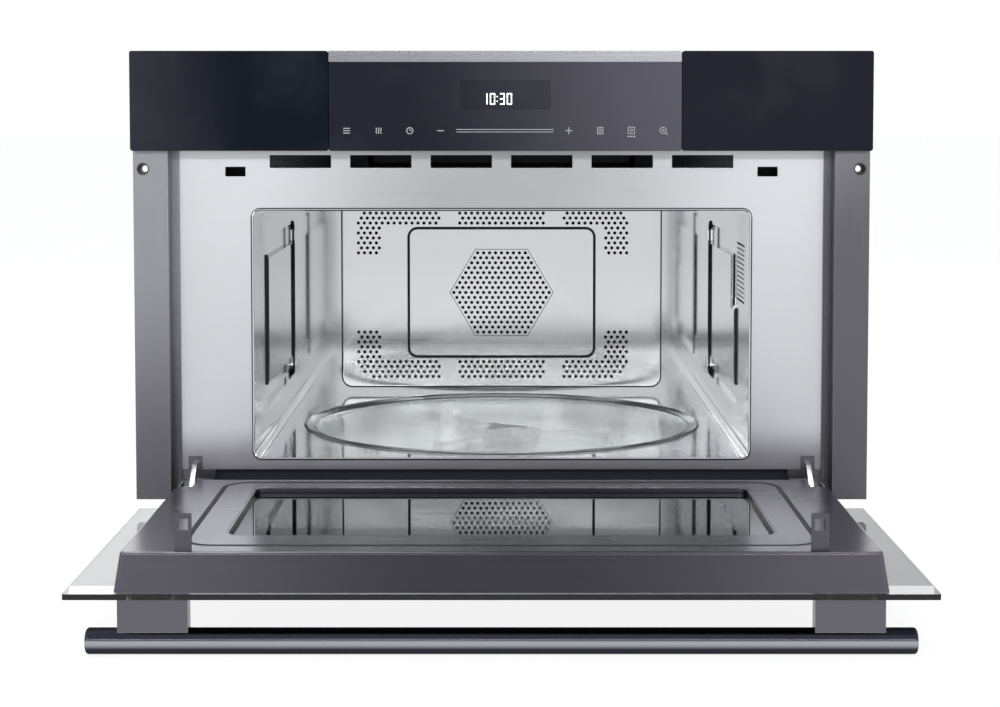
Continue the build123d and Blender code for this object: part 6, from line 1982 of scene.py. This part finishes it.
@dataclass
class CaseShell:
    """Galvanised case with its screws and pressed ribs."""

    screw_radius: float = 3.2
    screw_height: float = 2.2
    flange_radius: float = 4.4
    margin: float = 9.0
    rear_columns: tuple[float, ...] = (-250, -125, 0, 125, 250)
    rear_rows: Point2 = (120.0, 240.0)
    side_columns: tuple[float, ...] = (-215, -90, 60, 215)
    top_columns: tuple[float, ...] = (-240, -80, 80, 240)
    top_rows: Point2 = (-225, 235)
    top_ribs: Point3 = (-160.0, 0.0, 160.0)
    top_reach: Point2 = (-190.0, 200.0)
    side_ribs: Point3 = (105.0, 180.0, 255.0)
    side_reach: Point2 = (-180.0, 190.0)
    rib_half: Point2 = (12.0, 10.0)
    rib_section: tuple[Point2, ...] = ((0.0, -0.2), (0.0, 0.0), (-1.5, 0.9), (-3.5, 1.2))

    def build(self) -> None:
        """Builds and dresses the case."""
        zinc = FINISHES.of(ZINC)
        for node in ("base_pan", "side_panels", "top_cover", "rear_panel"):
            dress_node(node, zinc, 0.3)
        keep_node("mains_gland", FINISHES.of(BLACK_PLASTIC))
        self.build_screws()
        self.build_ribs()

    def screw(self) -> bpy.types.Object:
        """Makes one flanged screw head.

        Returns:
            The head, which points up.
        """
        draft = Draft()
        draft.turned([(0.0, 0.0), (self.flange_radius, 0.0), (self.flange_radius, 0.5),
                      (self.screw_radius, 0.9), (0.0, 0.9)], (0.0, 0.0, 0.0), Plane.TOP, 12)
        draft.turned([(0.0, 0.6), (self.screw_radius, 0.6), (self.screw_radius, self.screw_height - 0.4),
                      (self.screw_radius - 0.5, self.screw_height), (0.0, self.screw_height)],
                     (0.0, 0.0, 0.0), Plane.TOP, 6)
        return tool_object("screw_head", draft.to_mesh("screw_head"))

    def build_screws(self) -> None:
        """Sets screws along the edges of the rear, the sides and the top."""
        low, high = node_box("rear_panel")
        side_low, side_high = node_box("side_panels")
        top = node_box("top_cover")[1].z
        places, facing = [], []
        for x in self.rear_columns:
            for z in (low.z + self.margin, high.z - self.margin):
                places.append(Vector((x, high.y, z)) * MM)
                facing.append(Vector((0, 1, 0)))
        for z in self.rear_rows:
            for x in (low.x + self.margin, high.x - self.margin):
                places.append(Vector((x, high.y, z)) * MM)
                facing.append(Vector((0, 1, 0)))
        for side, x in ((-1, side_low.x), (1, side_high.x)):
            for y in self.side_columns:
                for z in (side_low.z + self.margin, side_high.z - self.margin):
                    places.append(Vector((x, y, z)) * MM)
                    facing.append(Vector((side, 0, 0)))
        for x in self.top_columns:
            for y in self.top_rows:
                places.append(Vector((x, y, top)) * MM)
                facing.append(Vector((0, 0, 1)))
        head = self.screw()
        mesh = settled(points_object("screw_places", places, facing), MAKERS.scatter,
                       {"Part": head, "Seed": 7, "Finish": FINISHES.of(PLAIN_STEEL)}, "case_screws")
        bpy.data.objects.remove(head)
        set_piece(mesh, FINISHES.of(PLAIN_STEEL), "case", "plain_steel")

    def press_rib(self, draft: Draft, plane: Plane, across: Point2, up: Point2, face: float,
                  side: int) -> None:
        """Presses one stiffening rib with its sloping edge.

        Args:
            draft: the mesh that takes it.
            plane: the plane that its outline is drawn in.
            across: lowest and highest value of the first axis.
            up: lowest and highest value of the second axis.
            face: where the sheet's face is along the raised axis.
            side: which way the rib stands out along that axis, 1 or -1.
        """
        corner = min(across[1] - across[0], up[1] - up[0]) / 2 - 1.0
        rings = []
        for grow, height in self.rib_section:
            outline = rounded_outline((across[0] - grow, across[1] + grow), (up[0] - grow, up[1] + grow),
                                      corner + grow)
            rings.append(draft.loop(plane.place(point, face + side * height) for point in outline))
        draft.skin(rings)
        draft.mesh.faces.new(rings[0])
        draft.mesh.faces.new(rings[-1])

    def build_ribs(self) -> None:
        """Presses shallow stiffening ribs in the top cover and the side panels."""
        side_low, side_high = node_box("side_panels")
        top = node_box("top_cover")[1].z
        wide, narrow = self.rib_half
        draft = Draft()
        for x in self.top_ribs:
            self.press_rib(draft, Plane.TOP, (x - wide, x + wide), self.top_reach, top, 1)
        for side, face in ((-1, side_low.x), (1, side_high.x)):
            for z in self.side_ribs:
                self.press_rib(draft, Plane.SIDE, self.side_reach, (z - narrow, z + narrow), face, side)
        set_piece(draft.to_mesh("case_ribs"), FINISHES.of(ZINC), "case", "galvanised")


class Workings:
    """What works behind the panels: heaters, fans, microwave source, supply and hinges."""

    def build(self) -> None:
        """Dresses every inner part."""
        groups = {
            CHROME: ("hinge_arms",),
            PLAIN_STEEL: ("hinge_brackets",),
            HEATER: ("grill_element", "ring_heater"),
        }
        for finish, nodes in groups.items():
            for node in nodes:
                dress_node(node, FINISHES.of(finish), 0.25)
        kept = {
            ZINC: ("waveguide",),
            CHAMBER_BLACK: ("convection_housing", "convection_fan"),
            PLAIN_STEEL: ("convection_motor", "blower_motor"),
            FAN_METAL: ("magnetron",),
            DUCT_SHADE: ("exhaust_duct",),
            BLACK_PLASTIC: ("blower_housing", "blower_wheel", "interlock_brackets"),
            PALE_PLASTIC: ("interlock_switches",),
            BOARD: ("power_board",),
            FERRITE: ("inverter_transformer",),
            FIBRE: ("insulation_pads",),
            BULB: ("cavity_lamp",),
        }
        for finish, nodes in kept.items():
            for node in nodes:
                keep_node(node, FINISHES.of(finish))


def main() -> None:
    """Builds the studio and every sub-assembly in order, and writes how large the model is."""
    logging.basicConfig(level=logging.INFO, format="%(name)s: %(message)s")
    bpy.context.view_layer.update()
    for part in (Studio(), FrontFrame(), Cavity(), Turntable(), ControlPanel(), Door(), Handle(),
                 CaseShell(), Workings()):
        LOG.info("%s", type(part).__name__)
        part.build()


if __name__ == "__main__":
    main()
